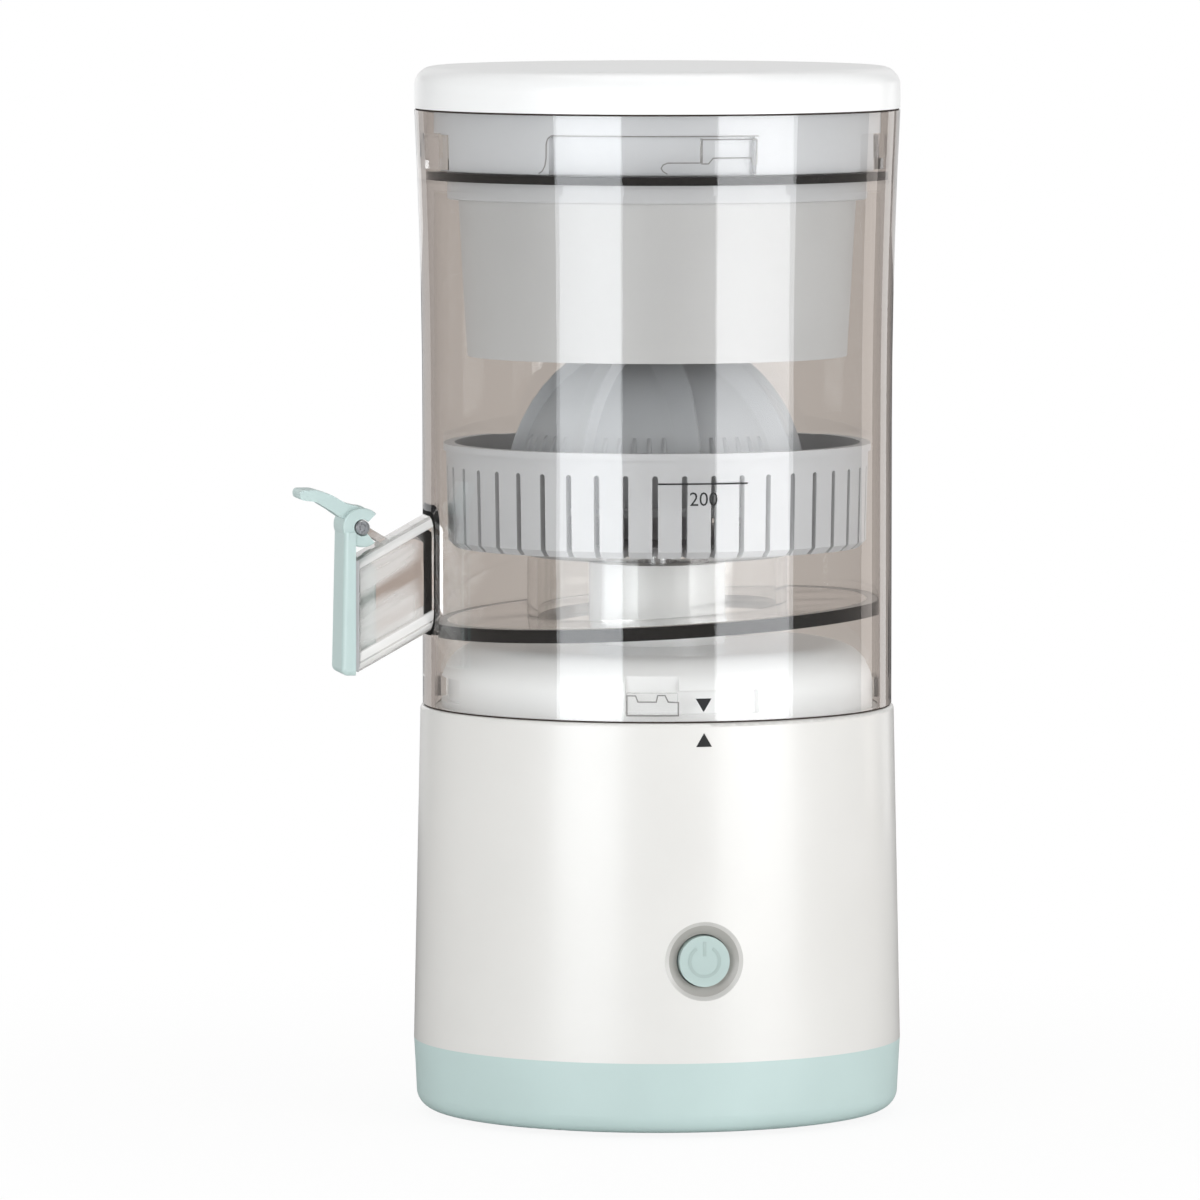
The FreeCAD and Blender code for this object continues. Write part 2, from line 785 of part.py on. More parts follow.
def build_gear_case():
    """Builds the plates, bushes and screws that carry the gears."""
    posts, bores, screws = [], [], []
    for angle in GEAR_POST_ANGLES:
        x, y = around(gear_post_circle, angle)
        posts.append(cylinder(d.post_radius, d.chamber_height + d.plate_thick, (x, y, z_plate)))
        bores.append((x, y))
        length = d.chamber_height + d.plate_thick * 2 + d.gear_screw_grip
        screws.append(screw(d.screw_radius, length, d.head_radius, d.head_height, (x, y, z_plate)))
    pin_fit = d.idler_pin_radius + d.joint_gap
    across = [float(d.motor_swing) + QUARTER_TURN, float(d.motor_swing) - QUARTER_TURN]
    motor_spots = []
    for angle in across:
        x, y = around(d.motor_screw_circle, angle)
        motor_spots.append((motor_x + x, motor_y + y))
    plate_tools = [cylinder(screw_bore, d.chamber_height * 2, (x, y, z_plate)) for x, y in bores]
    plate_tools.append(cylinder(d.bush_radius + d.joint_gap, d.plate_thick, (0, 0, z_plate)))
    plate_tools.append(cylinder(pin_fit, d.plate_thick, (idler_x, 0, z_plate)))
    plate_tools.append(cylinder(d.motor_boss_radius + d.fit_gap, d.plate_thick, (motor_x, motor_y, z_plate)))
    for x, y in motor_spots:
        plate_tools.append(cylinder(d.motor_screw_radius + d.screw_gap, d.plate_thick, (x, y, z_plate)))
    disc = cylinder(plate_radius, d.plate_thick, (0, 0, z_plate))
    piece(cut(fuse(disc, *posts), *plate_tools), "gear_plate")
    lid_tools = [cylinder(screw_bore, d.plate_thick, (x, y, z_gear_cover)) for x, y in bores]
    lid_tools.append(cylinder(pin_fit, d.plate_thick, (idler_x, 0, z_gear_cover)))
    lid_tools.append(cylinder(d.shaft_radius + d.channel_gap, d.plate_thick, (0, 0, z_gear_cover)))
    piece(cut(cylinder(plate_radius, d.plate_thick, (0, 0, z_gear_cover)), *lid_tools), "gear_cover")
    piece(fuse(*screws), "gear_screws")
    span = d.chamber_height + d.plate_thick * 2
    piece(cylinder(d.idler_pin_radius, span, (idler_x, 0, z_plate)), "idler_pin")
    bore = d.shaft_radius + d.running_gap
    piece(tube(d.bush_radius, bore, d.plate_thick + d.bush_stand, (0, 0, z_plate)), "shaft_bush_lower")
    low = z_boss - d.shaft_seal_thick - d.top_bush_length
    outer = d.top_bush_radius - d.joint_gap
    piece(tube(outer, bore, d.top_bush_length, (0, 0, low)), "shaft_bush_upper")
    piece(tube(outer, bore, d.shaft_seal_thick, (0, 0, z_boss - d.shaft_seal_thick)), "shaft_seal")
    heads = []
    for x, y in motor_spots:
        heads.append(cylinder(d.motor_screw_radius * 2, d.motor_screw_head, (x, y, z_chamber)))
        heads.append(cylinder(d.motor_screw_radius, d.plate_thick + d.motor_screw_grip,
                              (x, y, z_plate - d.motor_screw_grip)))
    piece(fuse(*heads), "motor_screws")
    return motor_spots


def build_motor(motor_spots):
    """Builds the motor, its shaft and its pinion."""
    low = z_plate - d.motor_length
    can = cylinder(d.motor_radius, d.motor_length, (motor_x, motor_y, low))
    boss = cylinder(d.motor_boss_radius, d.plate_thick, (motor_x, motor_y, z_plate))
    tail = cylinder(d.motor_boss_radius, d.motor_round, (motor_x, motor_y, low - d.motor_round))
    bore = cylinder(d.motor_shaft_radius + d.running_gap, d.motor_shaft_sink + d.plate_thick,
                    (motor_x, motor_y, z_plate - d.motor_shaft_sink))
    taps = [cylinder(d.motor_screw_radius + d.screw_gap, d.motor_screw_grip + d.play,
                     (x, y, z_plate - d.motor_screw_grip - d.play)) for x, y in motor_spots]
    piece(cut(fuse(can, boss, tail), bore, *taps), "motor_can")
    pinion_low = z_chamber + d.pinion_lift
    bottom = z_plate - d.motor_shaft_sink + d.play
    piece(cylinder(d.motor_shaft_radius, pinion_low + d.pinion_width - bottom, (motor_x, motor_y, bottom)),
          "motor_shaft")
    swing = math.radians(float(d.motor_swing))
    shape = gear(float(d.fast_module), PINION_TEETH, float(d.pinion_width), 0,
                 swing + math.pi + math.pi / PINION_TEETH)
    bored = Part.makeCylinder(float(d.motor_shaft_radius + d.joint_gap), float(d.pinion_width))
    solid(shape.cut(bored), "motor_pinion", (motor_x, motor_y, pinion_low))


def build_gears():
    """Builds the idler and the output gear with its shaft and hex drive."""
    swing = math.radians(float(d.motor_swing))
    wheel = float(d.wheel_width)
    width = wheel + float(d.idler_width)
    large = gear(float(d.fast_module), WHEEL_TEETH, wheel, 0, swing)
    small = gear(float(d.slow_module), IDLER_TEETH, width, 0, math.pi + math.pi / IDLER_TEETH)
    bore = Part.makeCylinder(float(d.idler_pin_radius + d.running_gap), width)
    wheel_low = z_chamber + d.wheel_lift
    solid(large.fuse(small).cut(bore), "idler_gear", (idler_x, 0, wheel_low))
    gear_low = wheel_low + d.wheel_width + d.output_lift
    hub_low = z_chamber + d.bush_stand + d.play
    hub_high = z_gear_cover - d.play
    teeth = gear(float(d.slow_module), OUTPUT_TEETH, float(d.output_width), float(gear_low - hub_low), 0)
    hub = Part.makeCylinder(float(d.hub_radius), float(hub_high - hub_low))
    bore = Part.makeCylinder(float(d.shaft_radius + d.joint_gap), float(hub_high - hub_low))
    solid(teeth.fuse(hub).cut(bore), "output_gear", (0, 0, hub_low))
    low = z_plate + d.play
    top = z_coupling + d.coupling_length - d.reamer_gap
    piece(cylinder(d.shaft_radius, top - low, (0, 0, low)), "drive_shaft")
    hexagon = doc.addObject("Part::Prism", "hex_drive")
    hexagon.Polygon = HEX_SIDES
    bind(hexagon, "Circumradius", d.coupling_radius)
    bind(hexagon, "Height", d.coupling_length)
    place(hexagon, (0, 0, z_coupling))
    hole = cylinder(d.shaft_radius + d.joint_gap, d.coupling_length - d.reamer_gap, (0, 0, z_coupling))
    piece(cut(hexagon, hole), "drive_coupling")


def build_cells():
    """Builds the two cells and the tray they lie in."""
    length = d.cell_length + d.cell_gap * 2 + d.tray_margin * 2
    offset = d.cell_radius + d.cell_gap
    width = offset * 4 + d.tray_margin * 2
    tray = block(length, width, z_cells - z_floor, (-length / 2, -width / 2, z_floor))
    bars, troughs = [], []
    for y in (-offset, offset):
        start = -d.cell_length / 2
        for radius, grow, store in ((d.cell_radius, 0, bars), (offset, d.cell_gap, troughs)):
            bar = cylinder(radius, d.cell_length + 2 * grow)
            place(bar, (start - grow, y, z_cells), FreeCAD.Rotation(FreeCAD.Vector(0, 1, 0), 90))
            store.append(bar)
    piece(cut(tray, *troughs), "battery_tray")
    piece(fuse(*bars), "battery_cells")


def build_button():
    """Builds the button, its bezel, the two boards and what sits on them."""
    inner = d.button_radius + d.fit_gap
    ring = tube(d.bezel_radius, inner, d.bezel_length, (0, -bezel_back, z_button), "-y")
    lip_at = bezel_front - d.bezel_lip_set - d.flange_thick
    lip = tube(d.bezel_radius + d.bezel_lip, inner, d.flange_thick, (0, -lip_at, z_button), "-y")
    dish = doc.addObject("Part::Cone", "dish")
    bind(dish, "Radius1", inner)
    bind(dish, "Radius2", d.bezel_radius - d.bezel_rim)
    bind(dish, "Height", d.bezel_dish)
    place(dish, (0, -(bezel_front - d.bezel_dish), z_button), TURNS["-y"])
    piece(cut(fuse(ring, lip), dish), "button_bezel")
    front = button_face - d.button_sink
    cap = cylinder(d.button_radius, front - stem_back, (0, -stem_back, z_button), "-y")
    flange = cylinder(d.button_radius + d.button_flange, d.flange_thick, (0, -stem_back, z_button), "-y")
    stem = cylinder(d.stem_radius, d.stem_length, (0, -stem_tip, z_button), "-y")
    piece(fuse(cap, flange, stem), "button_cap")
    piece(cylinder(d.plunger_radius, d.plunger_length, (0, -(stem_tip - d.plunger_length), z_button), "-y"),
          "switch_plunger")
    switch = block(d.switch_size, d.switch_depth, d.switch_size,
                   (-d.switch_size / 2, -switch_front, z_button - d.switch_size / 2))
    well = cylinder(d.plunger_radius + d.running_gap, d.switch_depth - d.play,
                    (0, -(board_front + d.play), z_button), "-y")
    piece(cut(switch, well), "tact_switch")
    screws = []
    for way, level, name in (("-y", z_button, "switch_board"), ("y", z_charge, "charge_board")):
        sign = -1 if way == "-y" else 1
        back = board_front - d.board_thick
        board = block(d.board_width, d.board_thick, d.board_height,
                      (-d.board_width / 2, -board_front if sign < 0 else back, level - d.board_height / 2))
        holes = []
        for x in (-board_hole, board_hole):
            holes.append(cylinder(d.board_screw_radius + d.screw_gap, d.board_thick,
                                  (x, sign * back, level), way))
            screws.append(cylinder(d.board_screw_radius, d.board_thick + d.board_screw_grip,
                                   (x, sign * back, level), way))
            screws.append(cylinder(d.board_screw_head, d.flange_thick,
                                   (x, sign * (back - d.flange_thick), level), way))
        piece(cut(board, *holes), name)
    piece(fuse(*screws), "board_screws")
    depth = charge_face - d.socket_sink - board_front
    shell = block(d.socket_width, depth, d.socket_height,
                  (-d.socket_width / 2, board_front, z_charge - d.socket_height / 2))
    bore_width = d.socket_width - d.socket_wall * 2
    bore_height = d.socket_height - d.socket_wall * 2
    bore = block(bore_width, d.socket_bore, bore_height,
                 (-bore_width / 2, charge_face - d.socket_sink - d.socket_bore, z_charge - bore_height / 2))
    piece(cut(shell, bore), "charge_socket")


def spout_line(level, x):
    """Returns the height of the sloping spout at a distance from the axis."""
    return z_cup + level - (x - cup_radius) * tangent(d.spout_slope)


def spout_block(grow, width, reach):
    """Returns the slanted block of the spout, grown or shrunk, out to a distance."""
    start = cup_inner - d.cup_wall
    low = d.spout_bottom - grow
    high = d.spout_top + grow
    corners = [(start, spout_line(low, start)), (reach, spout_line(low, reach)),
               (reach, spout_line(high, reach)), (start, spout_line(high, start))]
    return slab(corners, width)


def lengthwise(edge):
    """Tells whether an edge of the spout runs along its slope."""
    box = edge.BoundBox
    return box.YLength < NEAR and box.XLength > 1


def to_left(item):
    """Turns a solid that was built toward +X so that it points to -X."""
    item.Placement = FreeCAD.Placement(FreeCAD.Vector(), FreeCAD.Rotation(FreeCAD.Vector(0, 0, 1), HALF_TURN))
    return item


def rim_bosses():
    """Returns the lugs and the ledges on the inside of the cup's rim."""
    parts = []
    tip = skirt_radius - d.notch_depth + d.channel_gap
    low = z_skirt + d.play
    for turn in range(LUG_COUNT):
        right = FRONT + float(d.rim_lug_turn + d.rim_lug_sweep / 2) + turn * FULL_TURN / LUG_COUNT
        outer = rim_inner + d.rim_wall / 4
        parts.append(sector(outer, tip, low, d.rim_ledge_height, right - float(d.rim_ledge_sweep),
                            d.rim_ledge_sweep))
        parts.append(sector(outer, tip, low + d.rim_ledge_height / 2,
                            d.rim_lug_height + d.rim_ledge_height / 2,
                            right - float(d.rim_lug_sweep), d.rim_lug_sweep))
    return parts


def build_cup():
    """Builds the clear cup, its floor and the two black seals."""
    z_flare = z_cup + d.flare_rise
    rise = z_rim - z_flare
    spread = cup_rim_radius - cup_radius
    bend = (rise * rise + spread * spread) / (spread * 2)
    wall = turned([
        (cup_inner, z_cup), (cup_radius, z_cup), (cup_radius, z_flare),
        (cup_rim_radius, z_rim, (cup_radius + bend, z_flare), "right", "y"),
        (rim_inner, z_rim), (rim_inner, z_ledge), (ledge_radius, z_ledge),
        (ledge_radius, z_ledge - d.ledge_height), (cup_inner, z_ledge - d.ledge_height)])
    lugs = []
    for turn in range(LUG_COUNT):
        start = FRONT + float(d.cup_lug_turn - d.cup_lug_sweep / 2) + turn * FULL_TURN / LUG_COUNT
        lugs.append(sector(cup_inner + d.cup_wall / 4, deck_radius - d.channel_depth + d.channel_gap,
                           z_cup + d.cup_lug_rise, d.cup_lug_height, start, d.cup_lug_sweep))
    rim = d.gasket_rim + d.joint_gap
    seat = spout_block(rim, d.spout_width + rim * 2, spout_reach)
    soften(seat, d.spout_round + d.joint_gap, lengthwise)
    piece(cut(fuse(wall, *lugs, *rim_bosses()), to_left(seat)), "juice_cup")

    tilt = FreeCAD.Rotation(FreeCAD.Vector(0, 1, 0), -float(d.floor_slope))
    centre = (d.floor_thick * sine(d.floor_slope) / 2, 0, z_level - d.floor_thick * cosine(d.floor_slope) / 2)
    plate = cylinder(floor_radius, d.floor_thick)
    place(plate, centre, tilt)
    inner = d.turret_radius - d.turret_wall
    top = z_turret - d.turret_wall
    chimney_inner = d.chimney_radius - d.chimney_wall
    turret = turned([
        (inner, z_level - d.turret_foot), (d.turret_radius, z_level - d.turret_foot),
        (d.turret_radius, z_turret), (d.chimney_radius, z_turret), (d.chimney_radius, z_chimney),
        (chimney_inner, z_chimney),
        (chimney_inner, top), (inner, top)])
    eye = cylinder(d.turret_radius - d.turret_wall / 2, d.turret_stand, (0, 0, z_level - d.turret_stand / 2))
    piece(fuse(cut(plate, eye), turret), "cup_floor")
    ring = cylinder(cup_inner - d.seal_gap, d.floor_thick)
    hollow = cylinder(floor_radius + d.joint_gap, d.floor_thick)
    for bar in (ring, hollow):
        place(bar, centre, tilt)
    piece(cut(ring, hollow), "floor_seal")
    piece(tube(rim_inner - d.seal_gap, ledge_radius + d.seal_gap, d.rim_seal_thick, (0, 0, z_ledge)),
          "rim_seal")


def build_strainer():
    """Builds the slotted basket that stands on the turret."""
    bore = d.chimney_radius + d.fit_gap
    sleeve = bore + d.sleeve_wall
    inside = z_turret + d.basket_wall
    top = z_turret + d.basket_height
    rim_low = top - d.basket_rim_height
    body = turned([
        (bore, z_turret), (basket_radius - d.basket_corner, z_turret),
        (basket_radius, z_turret + d.basket_corner), (basket_mouth, rim_low), (basket_rim, rim_low),
        (basket_rim, top), (basket_mouth - d.basket_wall, top), (basket_radius - d.basket_wall, inside),
        (sleeve, inside), (sleeve, inside + d.sleeve_height), (bore, inside + d.sleeve_height)])
    half = d.slot_width / 2
    high = z_turret + d.slot_height - half
    slot = [(-half, z_turret - half), (half, z_turret - half), (half, high),
            (-half, high, (0, high), "left", "y")]
    start = basket_radius - d.slot_reach
    feature = pocket(body, "YZ_Plane", slot, start, basket_rim - start + half, True)
    pattern(body, feature, SLOT_COUNT)
    drain = [(drain_inner, -half), (drain_outer, -half), (drain_outer, half), (drain_inner, half)]
    feature = pocket(body, "XY_Plane", drain, inside, d.basket_wall * 2, False)
    pattern(body, feature, DRAIN_COUNT)
    piece(body, "strainer")


def height_on_ball(radius, level, x):
    """Returns the height of a ball's surface at a distance from the axis."""
    return level + root(radius * radius - x * x)


def add_ribs(body, radius, level, low):
    """Adds the ring of upright ribs that follow the reamer's ball."""
    foot = root(radius * radius - (level - low) * (level - low))
    inner = d.tip_end
    corners = [(inner, low), (foot, low),
               (inner, height_on_ball(radius, level, inner), (0, level), "left", "x")]
    sketch = draw(body, "XZ_Plane", corners)
    feature = body.newObject("PartDesign::Pad", "rib")
    feature.Profile = (sketch, [""])
    feature.SideType = "Symmetric"
    bind(feature, "Length", d.rib_width)
    body.Tip = feature
    sketch.AttachmentOffset = FreeCAD.Placement(
        FreeCAD.Vector(), FreeCAD.Rotation(FreeCAD.Vector(0, 1, 0), float(d.rib_turn)))
    pattern(body, feature, RIB_COUNT)


def build_reamer():
    """Builds the ribbed, hollow reamer with its hex socket."""
    level = z_chimney - d.reamer_drop
    low = level - d.reamer_skirt
    centre = (0, level)
    collar_top = low + d.collar_thick
    drop = level - collar_top
    neck = root(d.reamer_radius * d.reamer_radius - drop * drop)
    tip_low = height_on_ball(d.reamer_radius, level, d.tip_radius)
    body = turned([
        (0, low), (collar_radius, low), (collar_radius, collar_top), (neck, collar_top),
        (d.tip_radius, tip_low, centre, "left", "x"), (d.tip_end, tip_low + d.tip_height),
        (0, tip_low + d.tip_height)])
    add_ribs(body, d.reamer_radius + d.rib_proud, level, low)
    inner = d.reamer_radius - d.reamer_wall
    mouth = root(inner * inner - d.reamer_skirt * d.reamer_skirt)
    hub_low = z_chimney + d.reamer_gap
    hollow = draw(body, "XZ_Plane", [
        (0, low), (mouth, low),
        (d.reamer_hub, height_on_ball(inner, level, d.reamer_hub), centre, "left", "x"),
        (d.reamer_hub, hub_low), (0, hub_low)])
    feature = body.newObject("PartDesign::Groove", "hollow")
    feature.Profile = (hollow, [""])
    feature.ReferenceAxis = (hollow, ["V_Axis"])
    feature.Angle = FULL_TURN
    body.Tip = feature
    socket = doc.addObject("Part::Prism", "hex_socket")
    socket.Polygon = HEX_SIDES
    bind(socket, "Circumradius", d.coupling_radius + d.socket_gap)
    bind(socket, "Height", z_coupling + d.coupling_length + d.play - hub_low)
    place(socket, (0, 0, hub_low))
    piece(cut(body, socket), "reamer")


def build_spout():
    """Builds the spout with its gasket, and the hinged cap with its seal."""
    pin_z = spout_line(d.spout_top, spout_reach) + d.pin_lift
    outer = spout_block(0, d.spout_width, spout_reach)
    soften(outer, d.spout_round, lengthwise)
    bore = spout_block(-d.spout_wall, d.spout_width - d.spout_wall * 2, spout_reach + d.spout_wall)
    arm_x = pin_reach - d.arm_reach
    arm_z = spout_line(d.spout_top, arm_x) - d.arm_bed
    half = d.arm_thick / 2
    arm = slab([(arm_x, arm_z - half), (pin_reach, pin_z - half), (pin_reach, pin_z + half),
                (arm_x, arm_z + half)], d.hinge_width)
    bar = cylinder(d.pin_radius, d.hinge_width, (pin_reach, d.hinge_width / 2, pin_z), "-y")
    trim = cylinder(cup_radius + d.joint_gap, d.cup_height, (0, 0, z_cup))
    piece(to_left(cut(fuse(cut(outer, bore), arm, bar), trim)), "spout")

    rim = spout_block(d.gasket_rim, d.spout_width + d.gasket_rim * 2, spout_reach)
    soften(rim, d.spout_round, lengthwise)
    width = d.spout_width - d.spout_wall * 2
    window = block(spout_reach, width, d.spout_top - d.spout_bottom - d.spout_wall * 2,
                   (0, -width / 2, z_cup + d.spout_bottom + d.spout_wall))
    shell = tube(cup_radius, cup_inner, d.cup_height, (0, 0, z_cup))
    piece(to_left(common(cut(rim, window), shell)), "spout_gasket")

    bottom = spout_line(d.spout_bottom, spout_reach)
    high = spout_line(d.spout_top, spout_reach)
    face = spout_reach + d.cap_seal_gap + d.cap_seal_thick
    low = bottom - d.cap_overhang
    neck = pin_z - d.cap_neck
    plate = slab([(face, low), (face + d.cap_thick + d.cap_swell, low), (face + d.cap_thick, neck),
                  (face, neck)], d.spout_width)
    soften(plate, d.cap_round, lambda edge: abs(edge.BoundBox.ZMax - float(low)) < NEAR and
           straight_across(edge) and edge.BoundBox.XMin > float(face) + 1)
    soften(plate, d.cap_edge, lambda edge: edge.BoundBox.ZLength > float(d.spout_width) and
           edge.BoundBox.XMin > float(face) + 1)
    hook = doc.addObject("Part::Cylinder", "hook")
    bind(hook, "Radius", d.hook_radius)
    bind(hook, "Height", d.hinge_width)
    bind(hook, "Angle", d.hook_sweep)
    spin = FreeCAD.Rotation(FreeCAD.Vector(0, 0, 1), float(d.hook_start))
    place(hook, (pin_reach, d.hinge_width / 2, pin_z), TURNS["-y"].multiply(spin))
    eye = cylinder(d.pin_radius + d.joint_gap, d.hinge_width * 2, (pin_reach, d.hinge_width, pin_z), "-y")
    tip_x = pin_reach + d.lever_reach
    tip_z = pin_z + d.lever_rise
    knee_x = pin_reach + d.lever_knee
    bend_x = tip_x - d.lever_run
    lever = slab([
        (pin_reach, pin_z), (pin_reach + d.lever_root, pin_z + d.lever_root_low),
        (knee_x, pin_z + d.lever_knee_low), (bend_x, tip_z - d.lever_sag), (tip_x, tip_z),
        (tip_x, tip_z + d.lever_tip), (bend_x, tip_z + d.lever_tip), (knee_x, pin_z + d.lever_knee_high),
        (pin_reach + d.lever_root * 3 / 4, pin_z + d.hook_radius + d.lever_brow),
        (pin_reach, pin_z + d.hook_radius)], d.hinge_width)
    soften(lever, d.lever_round, lambda edge: straight_across(edge) and
           edge.BoundBox.XMin > float(tip_x) - NEAR)
    soften(lever, d.lever_bend, lambda edge: straight_across(edge) and
           float(pin_reach) + 1 < edge.BoundBox.XMin < float(bend_x) + NEAR)
    piece(to_left(cut(fuse(plate, hook, lever), eye)), "spout_cap")
    inset = d.cap_seal_inset
    pad = block(d.cap_seal_thick, d.spout_width - inset * 2, high - bottom - inset * 2,
                (face - d.cap_seal_thick, -(d.spout_width / 2 - inset), bottom + inset))
    place(pad, (-face, -(d.spout_width / 2 - inset), bottom + inset))
    piece(pad, "spout_cap_seal")


def build_lid():
    """Builds the lid, the press and fruit grip under it and the screws that join them."""
    edge_z = z_top - d.lid_crown
    bend = (cup_rim_radius * cup_rim_radius + d.lid_crown * d.lid_crown) / (d.lid_crown * 2)
    inner = cup_rim_radius - d.lid_wall
    roof = edge_z - d.lid_wall
    cap = turned([
        (0, roof), (inner - d.lid_corner, roof), (inner, roof - d.lid_corner), (inner, z_lid),
        (cup_rim_radius, z_lid), (cup_rim_radius, edge_z),
        (0, z_top, (0, z_top - bend), "left", "x")])
    soften(cap, d.lid_round, ring_at(cup_rim_radius, edge_z))
    stack = d.press_wall + d.grip_disc
    bosses, taps, screws = [], [], []
    for angle in lid_screw_angles:
        x, y = around(lid_screw_circle, angle)
        bosses.append(cylinder(d.post_radius, roof + d.lid_wall / 2 - z_roof, (x, y, z_roof)))
        taps.append(cylinder(screw_bore, d.lid_screw_grip + d.play, (x, y, z_roof)))
        screws.append(screw(d.screw_radius, stack + d.lid_screw_grip, d.head_radius, d.head_height,
                            (x, y, z_roof - stack)))
    piece(cut(fuse(cap, *bosses), *taps), "lid_cap")
    piece(fuse(*screws), "lid_screws")

    skirt_inner = skirt_radius - d.skirt_wall
    skirt_top = z_lid + d.skirt_tuck
    roof_low = z_roof - d.press_wall
    bowl = turned([
        (press_mouth - d.press_wall, z_press), (press_mouth, z_press), (press_radius, z_skirt),
        (skirt_radius, z_skirt), (skirt_radius, skirt_top), (skirt_inner, skirt_top),
        (skirt_inner, z_skirt + d.skirt_floor), (press_radius, z_skirt + d.skirt_floor),
        (press_radius, z_roof), (0, z_roof), (0, roof_low), (press_radius - d.press_wall, roof_low)])
    notches = []
    top = z_skirt + d.play + d.rim_ledge_height + d.rim_lug_height + d.play
    slack = float(d.channel_gap * HALF_TURN / (math.pi * skirt_radius))
    for turn in range(LUG_COUNT):
        right = FRONT + float(d.rim_lug_turn + d.rim_lug_sweep / 2) + turn * FULL_TURN / LUG_COUNT + slack
        notches.append(sector(skirt_radius + d.notch_depth, skirt_radius - d.notch_depth, z_skirt - d.play,
                              top - z_skirt + d.play, right - float(d.notch_sweep), d.notch_sweep))
    disc_low = roof_low - d.grip_disc
    roof_holes, disc_holes = [], []
    for angle in lid_screw_angles:
        x, y = around(lid_screw_circle, angle)
        roof_holes.append(cylinder(screw_bore, d.press_wall, (x, y, roof_low)))
        disc_holes.append(cylinder(screw_bore, d.grip_disc, (x, y, disc_low)))
    piece(cut(bowl, *notches, *roof_holes), "fruit_press")
    plates = [cylinder(grip_radius, d.grip_disc, (0, 0, disc_low))]
    for index in range(GRIP_PLATES):
        angle = index * HALF_TURN / GRIP_PLATES
        x, y = around(-grip_radius, angle)
        half_x, half_y = around(d.grip_width / 2, angle - QUARTER_TURN)
        plates.append(block(grip_radius * 2, d.grip_width, d.grip_height - d.grip_disc / 2,
                            (x + half_x, y + half_y, roof_low - d.grip_height), angle))
    piece(cut(fuse(*plates), *disc_holes), "fruit_grip")


def check_and_export():
    """Stops on a broken object, then writes one file for each sub-part."""
    doc.recompute()
    for item in doc.Objects:
        if "Invalid" in item.State or "Error" in item.State:
            raise RuntimeError(f"{item.Name} {item.Label} did not build: {item.State}")
    os.makedirs("parts", exist_ok=True)
    for item in PIECES:
        shape = item.Shape
        if shape.isNull() or not shape.isValid():
            raise RuntimeError(f"{item.Label} has no valid shape")
        shape.exportStep(f"parts/{item.Label}.step")


def main():
    """Builds every sub-part and exports it."""
    build_bottom()
    build_housing()
    build_motor(build_gear_case())
    build_gears()
    build_cells()
    build_button()
    build_cup()
    build_strainer()
    build_reamer()
    build_spout()
    build_lid()
    check_and_export()


main()
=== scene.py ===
"""Dresses the juicer: finishes, printed marks, reamer blades, small fittings and the studio."""

import logging
import math
from collections.abc import Callable, Iterable, Sequence
from dataclasses import dataclass
from enum import Enum
from typing import Any, ClassVar

import bmesh
import bpy
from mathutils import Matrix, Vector


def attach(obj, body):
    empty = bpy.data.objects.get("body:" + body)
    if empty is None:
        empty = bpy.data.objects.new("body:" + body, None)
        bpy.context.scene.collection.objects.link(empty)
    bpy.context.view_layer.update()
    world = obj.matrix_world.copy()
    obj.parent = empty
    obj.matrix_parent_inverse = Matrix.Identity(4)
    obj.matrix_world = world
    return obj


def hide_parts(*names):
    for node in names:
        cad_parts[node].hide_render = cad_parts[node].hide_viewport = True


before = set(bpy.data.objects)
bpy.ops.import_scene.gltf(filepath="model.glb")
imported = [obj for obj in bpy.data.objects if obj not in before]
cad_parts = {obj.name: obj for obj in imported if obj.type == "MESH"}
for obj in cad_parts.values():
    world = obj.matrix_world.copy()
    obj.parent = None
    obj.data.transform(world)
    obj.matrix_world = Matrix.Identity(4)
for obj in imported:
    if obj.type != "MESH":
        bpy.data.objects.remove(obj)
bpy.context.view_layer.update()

LOG = logging.getLogger("juicer")
MM = 0.001
FULL_TURN = 2 * math.pi
FULL_TURN_DEG = 360.0
RIGHT_ANGLE_DEG = 90.0
FULL_LEVEL = 255

Colour = tuple[float, float, float]
Point = tuple[float, float, float]
Spot = tuple[float, float]
Outline = Sequence[Spot]
Mesh = bmesh.types.BMesh
Loop = list[bmesh.types.BMVert]

# Profile of a round edge in a bevel
ROUND = 0.5

# Numbers of the Mix node's colour sockets, which share their names with its other sockets
MIX_FACTOR = 0
MIX_FIRST = 6
MIX_SECOND = 7
MIX_RESULT = 2


class Body(Enum):
    """The moving bodies that carry added pieces."""

    BASE = "base"
    BUTTON = "button"
    CUP = "cup"
    REAMER = "reamer"
    CAP = "cap"
    LID = "lid"


class Slot(Enum):
    """Names of material slots for added pieces, which this script doesn't use."""

    MINT = "mint"
    GREY_FOOD = "grey_food"
    BLACK_SEAL_AND_EDGE_SHADE = "black_seal"
    INNER_BLACK = "inner_black"
    STEEL = "steel"
    BEZEL_GREY = "bezel_grey"


class Ring(Enum):
    """The ways in which a ring of the reamer is shaped."""

    PLAIN = "plain"
    BLADED = "bladed"
    HEX = "hex"


@dataclass(frozen=True)
class PrintSizes:
    """Sizes in millimetres that the printed marks and the thin lines of painted shade along edges share."""

    mark_width: float = 3.4
    mark_height: float = 2.9
    bed: float = 0.03
    proud: float = 0.05
    edge_width: float = 0.28
    longest_edge: float = 0.8


PRINT = PrintSizes()


def linear(colour: Colour) -> tuple[float, float, float, float]:
    """Turns a screen colour into the shader's own scale.

    Args:
        colour: Red, green and blue from 0 to 255 as seen on a screen.

    Returns:
        The linear colour with full opacity.
    """
    knee, slope, offset, exponent = 0.04045, 12.92, 0.055, 2.4
    parts = []
    for part in colour:
        share = part / FULL_LEVEL
        curve = ((share + offset) / (1 + offset)) ** exponent
        parts.append(share / slope if share <= knee else curve)
    return (*parts, 1.0)


